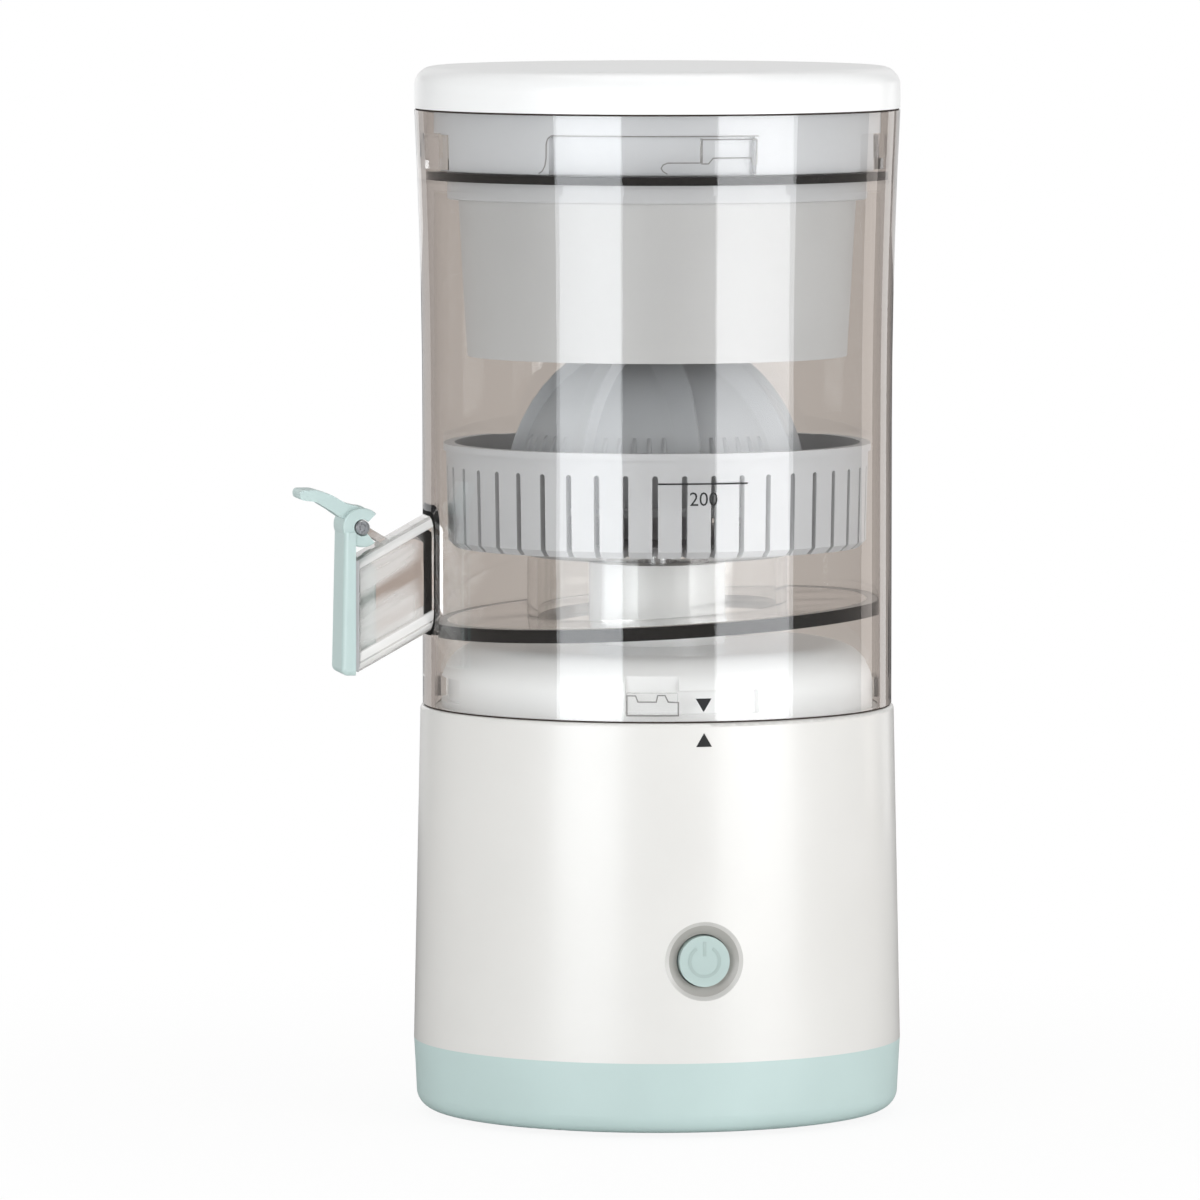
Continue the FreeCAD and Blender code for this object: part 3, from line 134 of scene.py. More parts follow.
def shaded(colour: Colour, factor: float) -> Colour:
    """Returns a colour made lighter or darker by a factor, kept within the screen's range."""
    return tuple(min(FULL_LEVEL, part * factor) for part in colour)


class Wire:
    """A node's output that takes part in arithmetic."""

    def __init__(self, graph: "Graph", socket: bpy.types.NodeSocket) -> None:
        """Keeps the socket and the graph it belongs to."""
        self.graph = graph
        self.socket = socket

    def _math(self, operation: str, first: Any, second: Any) -> "Wire":
        """Adds a Math node for two values."""
        return self.graph.node("ShaderNodeMath", {"operation": operation}, {0: first, 1: second})

    def __add__(self, other: Any) -> "Wire":
        """Returns self + other."""
        return self._math("ADD", self, other)

    def __radd__(self, other: Any) -> "Wire":
        """Returns other + self."""
        return self._math("ADD", other, self)

    def __sub__(self, other: Any) -> "Wire":
        """Returns self - other."""
        return self._math("SUBTRACT", self, other)

    def __rsub__(self, other: Any) -> "Wire":
        """Returns other - self."""
        return self._math("SUBTRACT", other, self)

    def __mul__(self, other: Any) -> "Wire":
        """Returns self * other."""
        return self._math("MULTIPLY", self, other)

    def __rmul__(self, other: Any) -> "Wire":
        """Returns other * self."""
        return self._math("MULTIPLY", other, self)

    def __gt__(self, other: Any) -> "Wire":
        """Returns 1 where self is above other and 0 elsewhere."""
        return self._math("GREATER_THAN", self, other)

    def larger(self, other: Any) -> "Wire":
        """Returns the larger of self and other."""
        return self._math("MAXIMUM", self, other)

    def power(self, exponent: float) -> "Wire":
        """Returns self raised to an exponent."""
        return self._math("POWER", self, exponent)


@dataclass(frozen=True)
class Noise:
    """A noise pattern: its lumps' size, its finer layers, its scale along each axis and its tilt about Y."""

    size_mm: float
    detail: float = 2.0
    stretch: Point | None = None
    tilt_deg: float = 0.0

    MIDDLE: ClassVar[float] = 0.5


class Graph:
    """A node tree and the one way in which nodes are added to it."""

    def __init__(self, tree: bpy.types.NodeTree) -> None:
        """Empties the tree and keeps it."""
        self.tree = tree
        self.tree.nodes.clear()

    def node(self, kind: str, settings: dict[str, Any] | None = None,
             inputs: dict[Any, Any] | None = None, output: Any = 0) -> Wire | None:
        """Adds a node.

        Args:
            kind: Blender's name of the node type.
            settings: Attributes that are set before the sockets.
            inputs: Values or wires by socket name or number.
            output: Name or number of the output that is returned.

        Returns:
            The chosen output, or None for a node that has none.
        """
        item = self.tree.nodes.new(kind)
        for key, value in (settings or {}).items():
            setattr(item, key, value)
        for key, value in (inputs or {}).items():
            if isinstance(value, Wire):
                self.tree.links.new(value.socket, item.inputs[key])
            else:
                item.inputs[key].default_value = value
        return Wire(self, item.outputs[output]) if len(item.outputs) else None

    def coords(self, stretch: Point | None = None, tilt_deg: float = 0.0) -> Wire:
        """Returns the object's own coordinates.

        Args:
            stretch: Scale along each axis, after the tilt.
            tilt_deg: Turn about the Y axis.

        Returns:
            The place in metres, tilted and stretched where asked.
        """
        place = self.node("ShaderNodeTexCoord", output="Object")
        if tilt_deg:
            turn = (0.0, math.radians(tilt_deg), 0.0)
            place = self.node("ShaderNodeMapping", inputs={"Vector": place, "Rotation": turn})
        if stretch:
            place = self.node("ShaderNodeMapping", inputs={"Vector": place, "Scale": stretch})
        return place

    def axis(self, place: Wire, name: str) -> Wire:
        """Returns one coordinate of a place."""
        return self.node("ShaderNodeSeparateXYZ", inputs={0: place}, output=name)

    def reach(self, place: Wire) -> Wire:
        """Returns a place's distance from the origin."""
        return self.node("ShaderNodeVectorMath", {"operation": "LENGTH"}, {0: place}, "Value")

    def ray(self, kind: str) -> Wire:
        """Returns 1 for rays of a kind that Light Path tells apart."""
        return self.node("ShaderNodeLightPath", output=kind)

    def noise(self, pattern: Noise) -> Wire:
        """Adds a noise pattern.

        Args:
            pattern: Its sizes.

        Returns:
            The noise, mostly between 0.3 and 0.7.
        """
        return self.node("ShaderNodeTexNoise", inputs={
            "Vector": self.coords(pattern.stretch, pattern.tilt_deg),
            "Scale": 1 / (pattern.size_mm * MM), "Detail": pattern.detail})

    def span(self, value: Wire, low: float, high: float, first: float = 0.0, last: float = 1.0) -> Wire:
        """Returns a value eased from one range to another.

        Args:
            value: The value that is mapped.
            low: Where the ease starts.
            high: Where it ends.
            first: The result at and below the start.
            last: The result at and above the end.

        Returns:
            The mapped value.
        """
        return self.node("ShaderNodeMapRange", {"interpolation_type": "SMOOTHSTEP"}, {
            "Value": value, "From Min": low, "From Max": high, "To Min": first, "To Max": last})

    def mix(self, factor: Wire, first: Colour, second: Colour | Wire) -> Wire:
        """Returns a blend of two colours.

        Args:
            factor: The share of the second colour.
            first: A screen colour.
            second: A screen colour or a wire that carries a colour.

        Returns:
            The blended colour.
        """
        last = second if isinstance(second, Wire) else linear(second)
        sockets = {MIX_FACTOR: factor, MIX_FIRST: linear(first), MIX_SECOND: last}
        return self.node("ShaderNodeMix", {"data_type": "RGBA"}, sockets, MIX_RESULT)

    def blend(self, factor: Wire, first: Wire, second: Wire) -> Wire:
        """Returns a blend of two shaders."""
        return self.node("ShaderNodeMixShader", inputs={0: factor, 1: first, 2: second})

    def bump(self, height: Wire, depth_mm: float) -> Wire:
        """Returns a normal that is tilted by a height."""
        return self.node("ShaderNodeBump", inputs={
            "Height": height, "Distance": depth_mm * MM, "Strength": 1.0})

    def principled(self, inputs: dict[str, Any]) -> Wire:
        """Returns the main shader."""
        return self.node("ShaderNodeBsdfPrincipled", inputs=inputs)

    def surface(self, shader: Wire) -> None:
        """Joins a shader to the material's output."""
        self.node("ShaderNodeOutputMaterial", inputs={"Surface": shader})


class Finish:
    """A surface finish that makes its material once."""

    name: str
    _made: dict[str, bpy.types.Material] = {}

    def fill(self, graph: Graph) -> None:
        """Adds the finish's nodes to an empty graph."""
        raise NotImplementedError

    def material(self) -> bpy.types.Material:
        """Makes the finish's material on first use.

        Returns:
            The material.
        """
        if self.name not in Finish._made:
            made = bpy.data.materials.new(self.name)
            made.use_nodes = True
            self.fill(Graph(made.node_tree))
            Finish._made[self.name] = made
        return Finish._made[self.name]


@dataclass(frozen=True)
class LitUpperPart:
    """The part of a surface above a height, painted lighter as painted light where more light falls."""

    colour: Colour
    start_mm: float
    ease_mm: float

    def rest(self, graph: Graph) -> Wire:
        """Returns 1 on the rest of the surface."""
        height = graph.axis(graph.coords(), "Z")
        return graph.span(height, self.start_mm * MM, (self.start_mm + self.ease_mm) * MM, 1.0, 0.0)


@dataclass(frozen=True)
class LitInnerPart:
    """The part of a surface within a distance of the upright axis, painted paler as painted light."""

    colour: Colour
    limit_mm: float

    FLATTEN: ClassVar[Point] = (1.0, 1.0, 0.0)

    def rest(self, graph: Graph) -> Wire:
        """Returns 1 on the rest of the surface."""
        return graph.reach(graph.coords(self.FLATTEN)) > self.limit_mm * MM


@dataclass(frozen=True)
class Opaque(Finish):
    """A solid surface with clouds in its colour, grain in its normal and both in its roughness.

    The tones are the colour's darkest and lightest share in the clouds. The swings are how far the
    clouds and the grain move the roughness.
    """

    name: str
    colour: Colour
    roughness: float
    swings: tuple[float, float]
    tones: tuple[float, float]
    cloud: Noise
    grain: Noise
    grain_depth_mm: float
    metallic: float = 0.0
    specular: float = 0.5
    coat: float = 0.0
    coat_roughness: float = 0.2
    part: LitUpperPart | LitInnerPart | None = None

    def fill(self, graph: Graph) -> None:
        """Adds the clouds, the grain and the part with painted light.

        Args:
            graph: The material's empty graph.
        """
        cloud, grain = graph.noise(self.cloud), graph.noise(self.grain)
        colour = graph.mix(cloud, *(shaded(self.colour, tone) for tone in self.tones))
        # The part with its own colour is painted light laid over the clouds
        if self.part:
            colour = graph.mix(self.part.rest(graph), self.part.colour, colour)
        roughness: Any = self.roughness
        for pattern, swing in zip((cloud, grain), self.swings):
            if swing:
                roughness = roughness + (pattern - Noise.MIDDLE) * swing
        graph.surface(graph.principled({
            "Base Color": colour, "Metallic": self.metallic, "Roughness": roughness,
            "Specular IOR Level": self.specular, "Coat Weight": self.coat,
            "Coat Roughness": self.coat_roughness, "Normal": graph.bump(grain, self.grain_depth_mm)}))


@dataclass(frozen=True)
class Moulded(Opaque):
    """Injection-moulded plastic with a slight flow mottle and a fine spark grain."""

    roughness: float = 0.36
    swings: tuple[float, float] = (0.12, 0.12)
    tones: tuple[float, float] = (0.97, 1.03)
    cloud: Noise = Noise(26.0, 3.0)
    grain: Noise = Noise(0.35, 1.0)
    grain_depth_mm: float = 0.006


@dataclass(frozen=True)
class RubberAndPaintedShade(Opaque):
    """Silicone or rubber with a dull, dusty grain, also used for dark rings of painted shade."""

    roughness: float = 0.6
    swings: tuple[float, float] = (0.3, 0.0)
    tones: tuple[float, float] = (0.85, 1.25)
    cloud: Noise = Noise(6.0, 4.0)
    grain: Noise = Noise(0.5)
    grain_depth_mm: float = 0.02
    specular: float = 0.12


@dataclass(frozen=True)
class Metal(Opaque):
    """Ground, drawn or sintered metal with stains and with marks drawn out along one axis."""

    roughness: float = 0.32
    swings: tuple[float, float] = (0.15, 0.35)
    tones: tuple[float, float] = (0.88, 1.08)
    cloud: Noise = Noise(5.0, 4.0)
    grain: Noise = Noise(0.25, stretch=(1.0, 1.0, 0.04))
    grain_depth_mm: float = 0.01
    metallic: float = 1.0


@dataclass(frozen=True)
class CellWrap(Opaque):
    """Shrink-wrapped cell with fine ripples round the sleeve."""

    roughness: float = 0.25
    swings: tuple[float, float] = (0.0, 0.2)
    tones: tuple[float, float] = (0.85, 1.1)
    cloud: Noise = Noise(9.0, 3.0)
    grain: Noise = Noise(1.2, stretch=(1.0, 0.15, 0.15))
    grain_depth_mm: float = 0.04


@dataclass(frozen=True)
class InkAndPaintedShade(Opaque):
    """Pad-printed ink with thin spots in its film, also used for dark marks and lines of painted shade."""

    roughness: float = 0.45
    swings: tuple[float, float] = (0.4, 0.0)
    tones: tuple[float, float] = (0.8, 1.3)
    cloud: Noise = Noise(0.6, 3.0)
    grain: Noise = Noise(0.6, 3.0)
    grain_depth_mm: float = 0.004


@dataclass(frozen=True)
class StreaksAndHighlights:
    """Milky streaks along a slope that fade toward the cup, and milky bands across it that are painted
    highlights on the spout's rounded top and bottom edges.
    """

    amount: float = 0.3
    colour: Colour = (244, 243, 241)
    streak: Noise = Noise(4.2, stretch=(0.12, 0.12, 1.0), tilt_deg=29.0)
    streak_low: float = 0.36
    streak_high: float = 0.62
    start_mm: float = -51.5
    full_mm: float = -55.0
    # Heights across the slope of the painted highlight bands on the spout's rounded bottom and top edges
    highlight_bands: tuple[Spot, ...] = ((116.9, 117.9), (118.4, 120.0), (135.9, 137.2))
    highlight_amount: float = 0.66
    highlight_ease_mm: float = 0.25

    def over(self, graph: Graph, glass: Wire) -> Wire:
        """Lays the milky streaks and the painted highlight bands over clear plastic.

        Args:
            graph: The material's graph.
            glass: The shader of the clear plastic.

        Returns:
            The frosted shader.
        """
        milky = graph.node("ShaderNodeBsdfDiffuse", inputs={"Color": linear(self.colour)})
        out = graph.axis(graph.coords(), "X")
        away = graph.span(out, self.full_mm * MM, self.start_mm * MM, self.amount, 0.0)
        share = graph.span(graph.noise(self.streak), self.streak_low, self.streak_high) * away
        across = graph.axis(graph.coords(tilt_deg=self.streak.tilt_deg), "Z")
        # Painted highlights along the spout's rounded edges
        for low, high in self.highlight_bands:
            start = graph.span(across, (low - self.highlight_ease_mm) * MM, low * MM)
            end = graph.span(across, high * MM, (high + self.highlight_ease_mm) * MM, self.highlight_amount, 0.0)
            share = share.larger(start * end)
        return graph.blend(share, glass, milky)


@dataclass(frozen=True)
class ClearPlastic(Finish):
    """Clear, slightly smoked plastic that darkens where the wall is seen edge on."""

    name: str
    smoke: Colour
    edge_smoke: Colour
    edge_power: float = 3.0
    roughness: float = 0.02
    haze: Noise = Noise(3.0)
    wave: Noise = Noise(22.0, 1.0)
    wave_depth_mm: float = 0.05
    index: float = 1.47
    facing_blend: float = 0.5
    streaks_and_highlights: StreaksAndHighlights | None = None

    def fill(self, graph: Graph) -> None:
        """Adds a faint waviness, polish haze and a tint that grows toward the edges.

        Light that falls on the pieces inside passes straight through.

        Args:
            graph: The material's empty graph.
        """
        facing = graph.node("ShaderNodeLayerWeight", inputs={"Blend": self.facing_blend}, output="Facing")
        haze = graph.noise(self.haze) - Noise.MIDDLE
        glass = graph.principled({
            "Base Color": graph.mix(facing.power(self.edge_power), self.smoke, self.edge_smoke),
            "Transmission Weight": 1.0, "IOR": self.index,
            "Roughness": self.roughness + haze * self.roughness,
            "Normal": graph.bump(graph.noise(self.wave), self.wave_depth_mm)})
        if self.streaks_and_highlights:
            glass = self.streaks_and_highlights.over(graph, glass)
        passing = graph.node("ShaderNodeBsdfTransparent", inputs={"Color": linear(WHITE)})
        light = graph.ray("Is Shadow Ray").larger(graph.ray("Is Diffuse Ray"))
        graph.surface(graph.blend(light, glass, passing))


@dataclass(frozen=True)
class Board(Finish):
    """Circuit board with solder mask over a net of copper tracks."""

    name: str
    mask: Colour
    track: Colour
    cell_mm: float = 3.2
    track_share: float = 0.09
    weave: Noise = Noise(0.4)
    weave_share: float = 0.2
    roughness: float = 0.34
    roughness_swing: float = 0.25
    depth_mm: float = 0.03

    def fill(self, graph: Graph) -> None:
        """Adds raised tracks along the edges of a cell pattern.

        Args:
            graph: The material's empty graph.
        """
        cells = graph.node(
            "ShaderNodeTexVoronoi", {"feature": "DISTANCE_TO_EDGE", "distance": "EUCLIDEAN"},
            {"Vector": graph.coords(), "Scale": 1 / (self.cell_mm * MM)}, "Distance")
        tracks = 1 - (cells > self.track_share)
        weave = graph.noise(self.weave)
        graph.surface(graph.principled({
            "Base Color": graph.mix(tracks, self.mask, self.track),
            "Roughness": self.roughness + (weave - Noise.MIDDLE) * self.roughness_swing,
            "Normal": graph.bump(tracks + weave * self.weave_share, self.depth_mm)}))


WHITE: Colour = (FULL_LEVEL, FULL_LEVEL, FULL_LEVEL)
# The deck above 88.2 mm is painted lighter: painted light that brightens the deck in the shade under the
# clear cup
PEARL_WHITE = Moulded("pearl_white_shell", (226, 224, 220), 0.34, (0.08, 0.08), (0.985, 1.015), coat=0.5,
                      part=LitUpperPart((238, 238, 237), 88.2, 0.3))
LID_WHITE = Moulded("white_lid", (246, 246, 245), 0.3, (0.06, 0.06), (0.992, 1.008), coat=0.2)
MINT = Moulded("pale_mint", (192, 211, 208), 0.38)
BUTTON_MINT = Moulded("button_mint", (178, 196, 192), 0.42)
SYMBOL_MINT = Moulded("symbol_mint", (166, 183, 179), 0.4)
FOOD_GREY = Moulded("food_grey", (184, 184, 185), 0.42, grain_depth_mm=0.002)
# The skirt above 203 mm is painted lighter and cooler: painted light on the same grey moulding as the press
PRESS_GREY = Moulded("press_grey", (181, 180, 179), 0.42, grain_depth_mm=0.002,
                     part=LitUpperPart((198, 199, 201), 203.0, 1.0))
# A darker copy of the food grey: painted shade for the shadow that falls on the reamer
REAMER_SHADED_GREY = Moulded("reamer_painted_shade_grey", (172, 174, 176), 0.44, grain_depth_mm=0.0015)
# Pale crests on the reamer's blades: a painted highlight
CREST_HIGHLIGHT = Moulded("painted_crest_highlight", (222, 224, 226), 0.3, grain_depth_mm=0.001)
BEZEL_GREY = Moulded("warm_grey_bezel", (170, 167, 162), 0.4)
LIP_GREY = Moulded("pale_grey_lip", (200, 198, 194), 0.4)
GEAR_WHITE = Moulded("natural_acetal", (226, 223, 214), 0.4)
INNER_BLACK = Moulded("inner_black", (38, 38, 40), 0.5)
CLEAR = ClearPlastic("smoked_clear", (251, 251, 250), (232, 227, 223))
SPOUT_CLEAR = ClearPlastic("smoked_spout", (246, 242, 239), (204, 196, 190), 2.0, 0.03,
                           wave=Noise(9.0, 1.0), wave_depth_mm=0.2, streaks_and_highlights=StreaksAndHighlights())
PLUG_GREY = RubberAndPaintedShade("plug_silicone", (158, 166, 164), 0.5)
# Thin dark brown rings: painted shadow in the gaps at the cup's seat and under the lid
PAINTED_SEAM_SHADOW = RubberAndPaintedShade("painted_seam_shadow", (58, 50, 46))
# Black silicone on the shaft seal; on the rim seal and the spout gasket it is painted shade where the clear
# plastic's edges show dark
BLACK_SEAL_AND_EDGE_SHADE = RubberAndPaintedShade("black_silicone_and_edge_shade", (7, 7, 6))
# The floor ring is black as painted shade for the clear floor's dark edge; its inner face, seen on the far
# side, is painted paler as painted light
FLOOR_RING_SHADE = RubberAndPaintedShade("floor_ring_painted_shade", (7, 7, 6), part=LitInnerPart((172, 164, 158), 47.5))
PAD_RUBBER = RubberAndPaintedShade("grey_foot_rubber", (92, 94, 94), 0.75, grain=Noise(0.8))
STEEL = Metal("ground_steel", (196, 197, 199), 0.3)
MOTOR_STEEL = Metal("drawn_steel_can", (176, 177, 180), 0.36, grain=Noise(0.25, stretch=(1.0, 1.0, 0.1)))
BRONZE = Metal("sintered_bronze", (170, 128, 78), 0.45, grain=Noise(0.4))
BOARD_GREEN = Board("green_board", (26, 92, 52), (60, 130, 78))
CELL_BLUE = CellWrap("blue_cell_wrap", (44, 104, 170))
MARK_INK = InkAndPaintedShade("black_ink", (24, 24, 24))
# Flat dark crosses on the screw heads: painted shade for their cross recesses
PAINTED_RECESS_SHADE = InkAndPaintedShade("painted_recess_shade", (34, 34, 36))
# Thin grey lines of painted shade along the edges of the lugs and the skirt's notch
PAINTED_EDGE_SHADE = InkAndPaintedShade("painted_edge_shade", (122, 120, 118))


def coat(item: bpy.types.Object, finish: Finish) -> None:
    """Gives an object one finish all over."""
    item.data.materials.clear()
    item.data.materials.append(finish.material())


def add_object(name: str, mesh: Mesh) -> bpy.types.Object:
    """Makes an object of a mesh.

    Args:
        name: Name of the object.
        mesh: The mesh in metres, which is freed.

    Returns:
        The new object.
    """
    data = bpy.data.meshes.new(name)
    mesh.to_mesh(data)
    mesh.free()
    item = bpy.data.objects.new(name, data)
    bpy.context.scene.collection.objects.link(item)
    return item


def add_piece(name: str, mesh: Mesh, finish: Finish, body: Body,
              sharp_deg: float = 35.0) -> bpy.types.Object:
    """Makes an object of a finished mesh and hands it to its body.

    Args:
        name: Name of the piece.
        mesh: The mesh in millimetres, which is freed.
        finish: The finish of the piece.
        body: The body that carries it.
        sharp_deg: Edges that bend more than this stay sharp.

    Returns:
        The new object.
    """
    bmesh.ops.scale(mesh, vec=(MM, MM, MM), verts=mesh.verts)
    bmesh.ops.recalc_face_normals(mesh, faces=mesh.faces)
    limit = math.radians(sharp_deg)
    for face in mesh.faces:
        face.smooth = True
    for edge in mesh.edges:
        edge.smooth = len(edge.link_faces) == 2 and edge.calc_face_angle(0.0) < limit
    item = add_object(name, mesh)
    coat(item, finish)
    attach(item, body.value)
    LOG.info("piece %s on %s: %d faces", name, body.value, len(item.data.polygons))
    return item


def loft(mesh: Mesh, loops: Sequence[Loop], whole: bool = False) -> list[bmesh.types.BMFace]:
    """Joins loops of points by rows of faces.

    Args:
        mesh: The mesh that grows.
        loops: Closed loops with as many points each.
        whole: Joins the last loop to the first, instead of closing both ends.

    Returns:
        The faces between the loops, row by row.
    """
    pairs = list(zip(loops, loops[1:]))
    if whole:
        pairs.append((loops[-1], loops[0]))
    else:
        mesh.faces.new(loops[0][::-1])
        mesh.faces.new(loops[-1])
    sides = []
    for lower, upper in pairs:
        for index in range(len(lower)):
            after = (index + 1) % len(lower)
            sides.append(mesh.faces.new((lower[index], lower[after], upper[after], upper[index])))
    return sides


def flat_print(outlines: Iterable[Outline], low: float, high: float) -> Mesh:
    """Returns flat plates of given outlines between two heights.

    Args:
        outlines: Closed outlines in millimetres.
        low: Underside height in millimetres.
        high: Upper height in millimetres.

    Returns:
        A closed mesh in millimetres.
    """
    mesh = bmesh.new()
    for outline in outlines:
        loft(mesh, [[mesh.verts.new((x, y, level)) for x, y in outline] for level in (low, high)])
    bmesh.ops.triangulate(mesh, faces=mesh.faces)
    return mesh


def ribbon(paths: Iterable[Outline], width: float, thick: float) -> Mesh:
    """Returns flat lines of even width along paths.

    Args:
        paths: The paths in millimetres. One that ends where it starts is closed.
        width: Width of the lines in millimetres.
        thick: Their thickness in millimetres, half of it on each side.

    Returns:
        A closed mesh in millimetres.
    """
    least = 0.4
    mesh = bmesh.new()
    for path in paths:
        whole = path[0] == path[-1]
        points = path[:-1] if whole else path
        count = len(points)
        rows = []
        for index, (x, y) in enumerate(points):
            before = points[index - 1] if whole or index else points[0]
            after = points[(index + 1) % count] if whole or index + 1 < count else points[-1]
            first = Vector((x - before[0], y - before[1])).normalized()
            last = Vector((after[0] - x, after[1] - y)).normalized()
            along = (first + last).normalized()
            step = width / 2 / max(along.dot(first), along.dot(last), least)
            corners = ((-step, -thick / 2), (step, -thick / 2), (step, thick / 2), (-step, thick / 2))
            rows.append([mesh.verts.new((x - along.y * side, y + along.x * side, level))
                         for side, level in corners])
        loft(mesh, rows, whole)
    bmesh.ops.triangulate(mesh, faces=mesh.faces)
    return mesh


def lettering(text: str, height: float, level: float, low: float, high: float) -> Mesh:
    """Returns plain lettering as a flat print.

    Args:
        text: The characters.
        height: Height of a figure in millimetres.
        level: Where the middle of the figures lies, in millimetres.
        low: Underside height in millimetres.
        high: Upper height in millimetres.

    Returns:
        A closed mesh in millimetres.
    """
    curve_steps = 3
    weld = 1e-5
    curve = bpy.data.curves.new("figures", "FONT")
    curve.body = text
    curve.extrude = (high - low) / 2
    curve.resolution_u = curve_steps
    item = bpy.data.objects.new("figures", curve)
    bpy.context.scene.collection.objects.link(item)
    bpy.context.view_layer.update()
    flat = item.evaluated_get(bpy.context.evaluated_depsgraph_get()).to_mesh()
    mesh = bmesh.new()
    mesh.from_mesh(flat)
    bpy.data.objects.remove(item)
    bpy.data.curves.remove(curve)
    bmesh.ops.remove_doubles(mesh, verts=mesh.verts, dist=weld)
    spans = []
    for axis in (0, 1):
        places = [vert.co[axis] for vert in mesh.verts]
        spans.append((min(places), max(places)))
    scale = height / (spans[1][1] - spans[1][0])
    for vert in mesh.verts:
        for axis, centre in enumerate((0.0, level)):
            vert.co[axis] = (vert.co[axis] - sum(spans[axis]) / 2) * scale + centre
        vert.co.z += (high + low) / 2
    bmesh.ops.triangulate(mesh, faces=mesh.faces)
    return mesh


def triangle(level: float, point: int) -> Outline:
    """Returns an alignment mark with its middle at a height, which points up for 1 and down for -1."""
    half, foot = point * PRINT.mark_width / 2, level - point * PRINT.mark_height / 2
    return [(-half, foot), (half, foot), (0.0, foot + point * PRINT.mark_height)]


def wrap(mesh: Mesh, radius_at: Callable[[float], float]) -> None:
    """Wraps a flat print round the upright axis, centred on the front, with edges short enough for it.

    Args:
        mesh: A mesh in millimetres: x along the surface, y up, z outward.
        radius_at: Gives the surface's radius at a height in millimetres.
    """
    while long_edges := [edge for edge in mesh.edges if edge.calc_length() > PRINT.longest_edge]:
        bmesh.ops.subdivide_edges(mesh, edges=long_edges, cuts=1)
        bmesh.ops.triangulate(mesh, faces=[face for face in mesh.faces if len(face.verts) > 3])
    for vert in mesh.verts:
        along, up, out = vert.co
        radius = radius_at(up)
        angle = along / radius
        vert.co = Vector((math.sin(angle), -math.cos(angle), 0)) * (radius + out)
        vert.co.z = up


def round_vert(mesh: Mesh, radius: float, angle: float, level: float) -> bmesh.types.BMVert:
    """Adds a point at a distance and a direction from the upright axis."""
    return mesh.verts.new((radius * math.cos(angle), radius * math.sin(angle), level))


def turned(profile: Outline, columns: int = 180, start_deg: float = 0.0,
           sweep_deg: float = FULL_TURN_DEG) -> Mesh:
    """Returns a closed profile turned round the upright axis.

    Args:
        profile: Radius and height of each corner in millimetres.
        columns: Number of steps round the axis.
        start_deg: Where the turn starts.
        sweep_deg: How far it goes. A part turn gets flat ends.

    Returns:
        A closed mesh in millimetres.
    """
    mesh = bmesh.new()
    whole = sweep_deg == FULL_TURN_DEG
    loops = []
    for column in range(columns if whole else columns + 1):
        angle = math.radians(start_deg + sweep_deg * column / columns)
        loops.append([round_vert(mesh, radius, angle, level) for radius, level in profile])
    loft(mesh, loops, whole)
    return mesh


def lay_level(mesh: Mesh, spot: Spot, side: int, away: float = 0.0) -> None:
    """Lays a mesh with an upright axis level, so that its top faces along Y.

    Args:
        mesh: The mesh in millimetres.
        spot: Where its axis then lies, as x and z in millimetres.
        side: Faces the back for 1 and the front for -1.
        away: How far it is moved along that way in millimetres.
    """
    for vert in mesh.verts:
        along, up, out = vert.co
        vert.co = (spot[0] + along, side * (away + out), spot[1] + up)


def on_hinge(spot: Spot, profile: Outline, columns: int, start_deg: float = 0.0,
             sweep_deg: float = FULL_TURN_DEG) -> Mesh:
    """Returns a profile turned round the flap's hinge pin on both sides of the arm.

    Args:
        spot: Where the pin lies, as x and z in millimetres.
        profile: Radius and distance from the middle of each corner in millimetres.
        columns: Number of steps round the pin.
        start_deg: Where the turn starts.
        sweep_deg: How far it goes.

    Returns:
        A closed mesh in millimetres.
    """
    mesh = bmesh.new()
    for side in (-1, 1):
        end = turned(profile, columns, start_deg, sweep_deg)
        lay_level(end, spot, side)
        data = bpy.data.meshes.new("end")
        end.to_mesh(data)
        end.free()
        mesh.from_mesh(data)
        bpy.data.meshes.remove(data)
    return mesh


class Assembly:
    """A group of pieces that is dressed and completed together."""

    finishes: ClassVar[dict[str, Finish]] = {}

    def dress(self) -> None:
        """Gives each node of the group its finish."""
        for node, finish in self.finishes.items():
            coat(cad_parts[node], finish)
            LOG.info("dressed %s in %s", node, finish.name)

    def build(self) -> None:
        """Adds the pieces that the frame doesn't hold."""


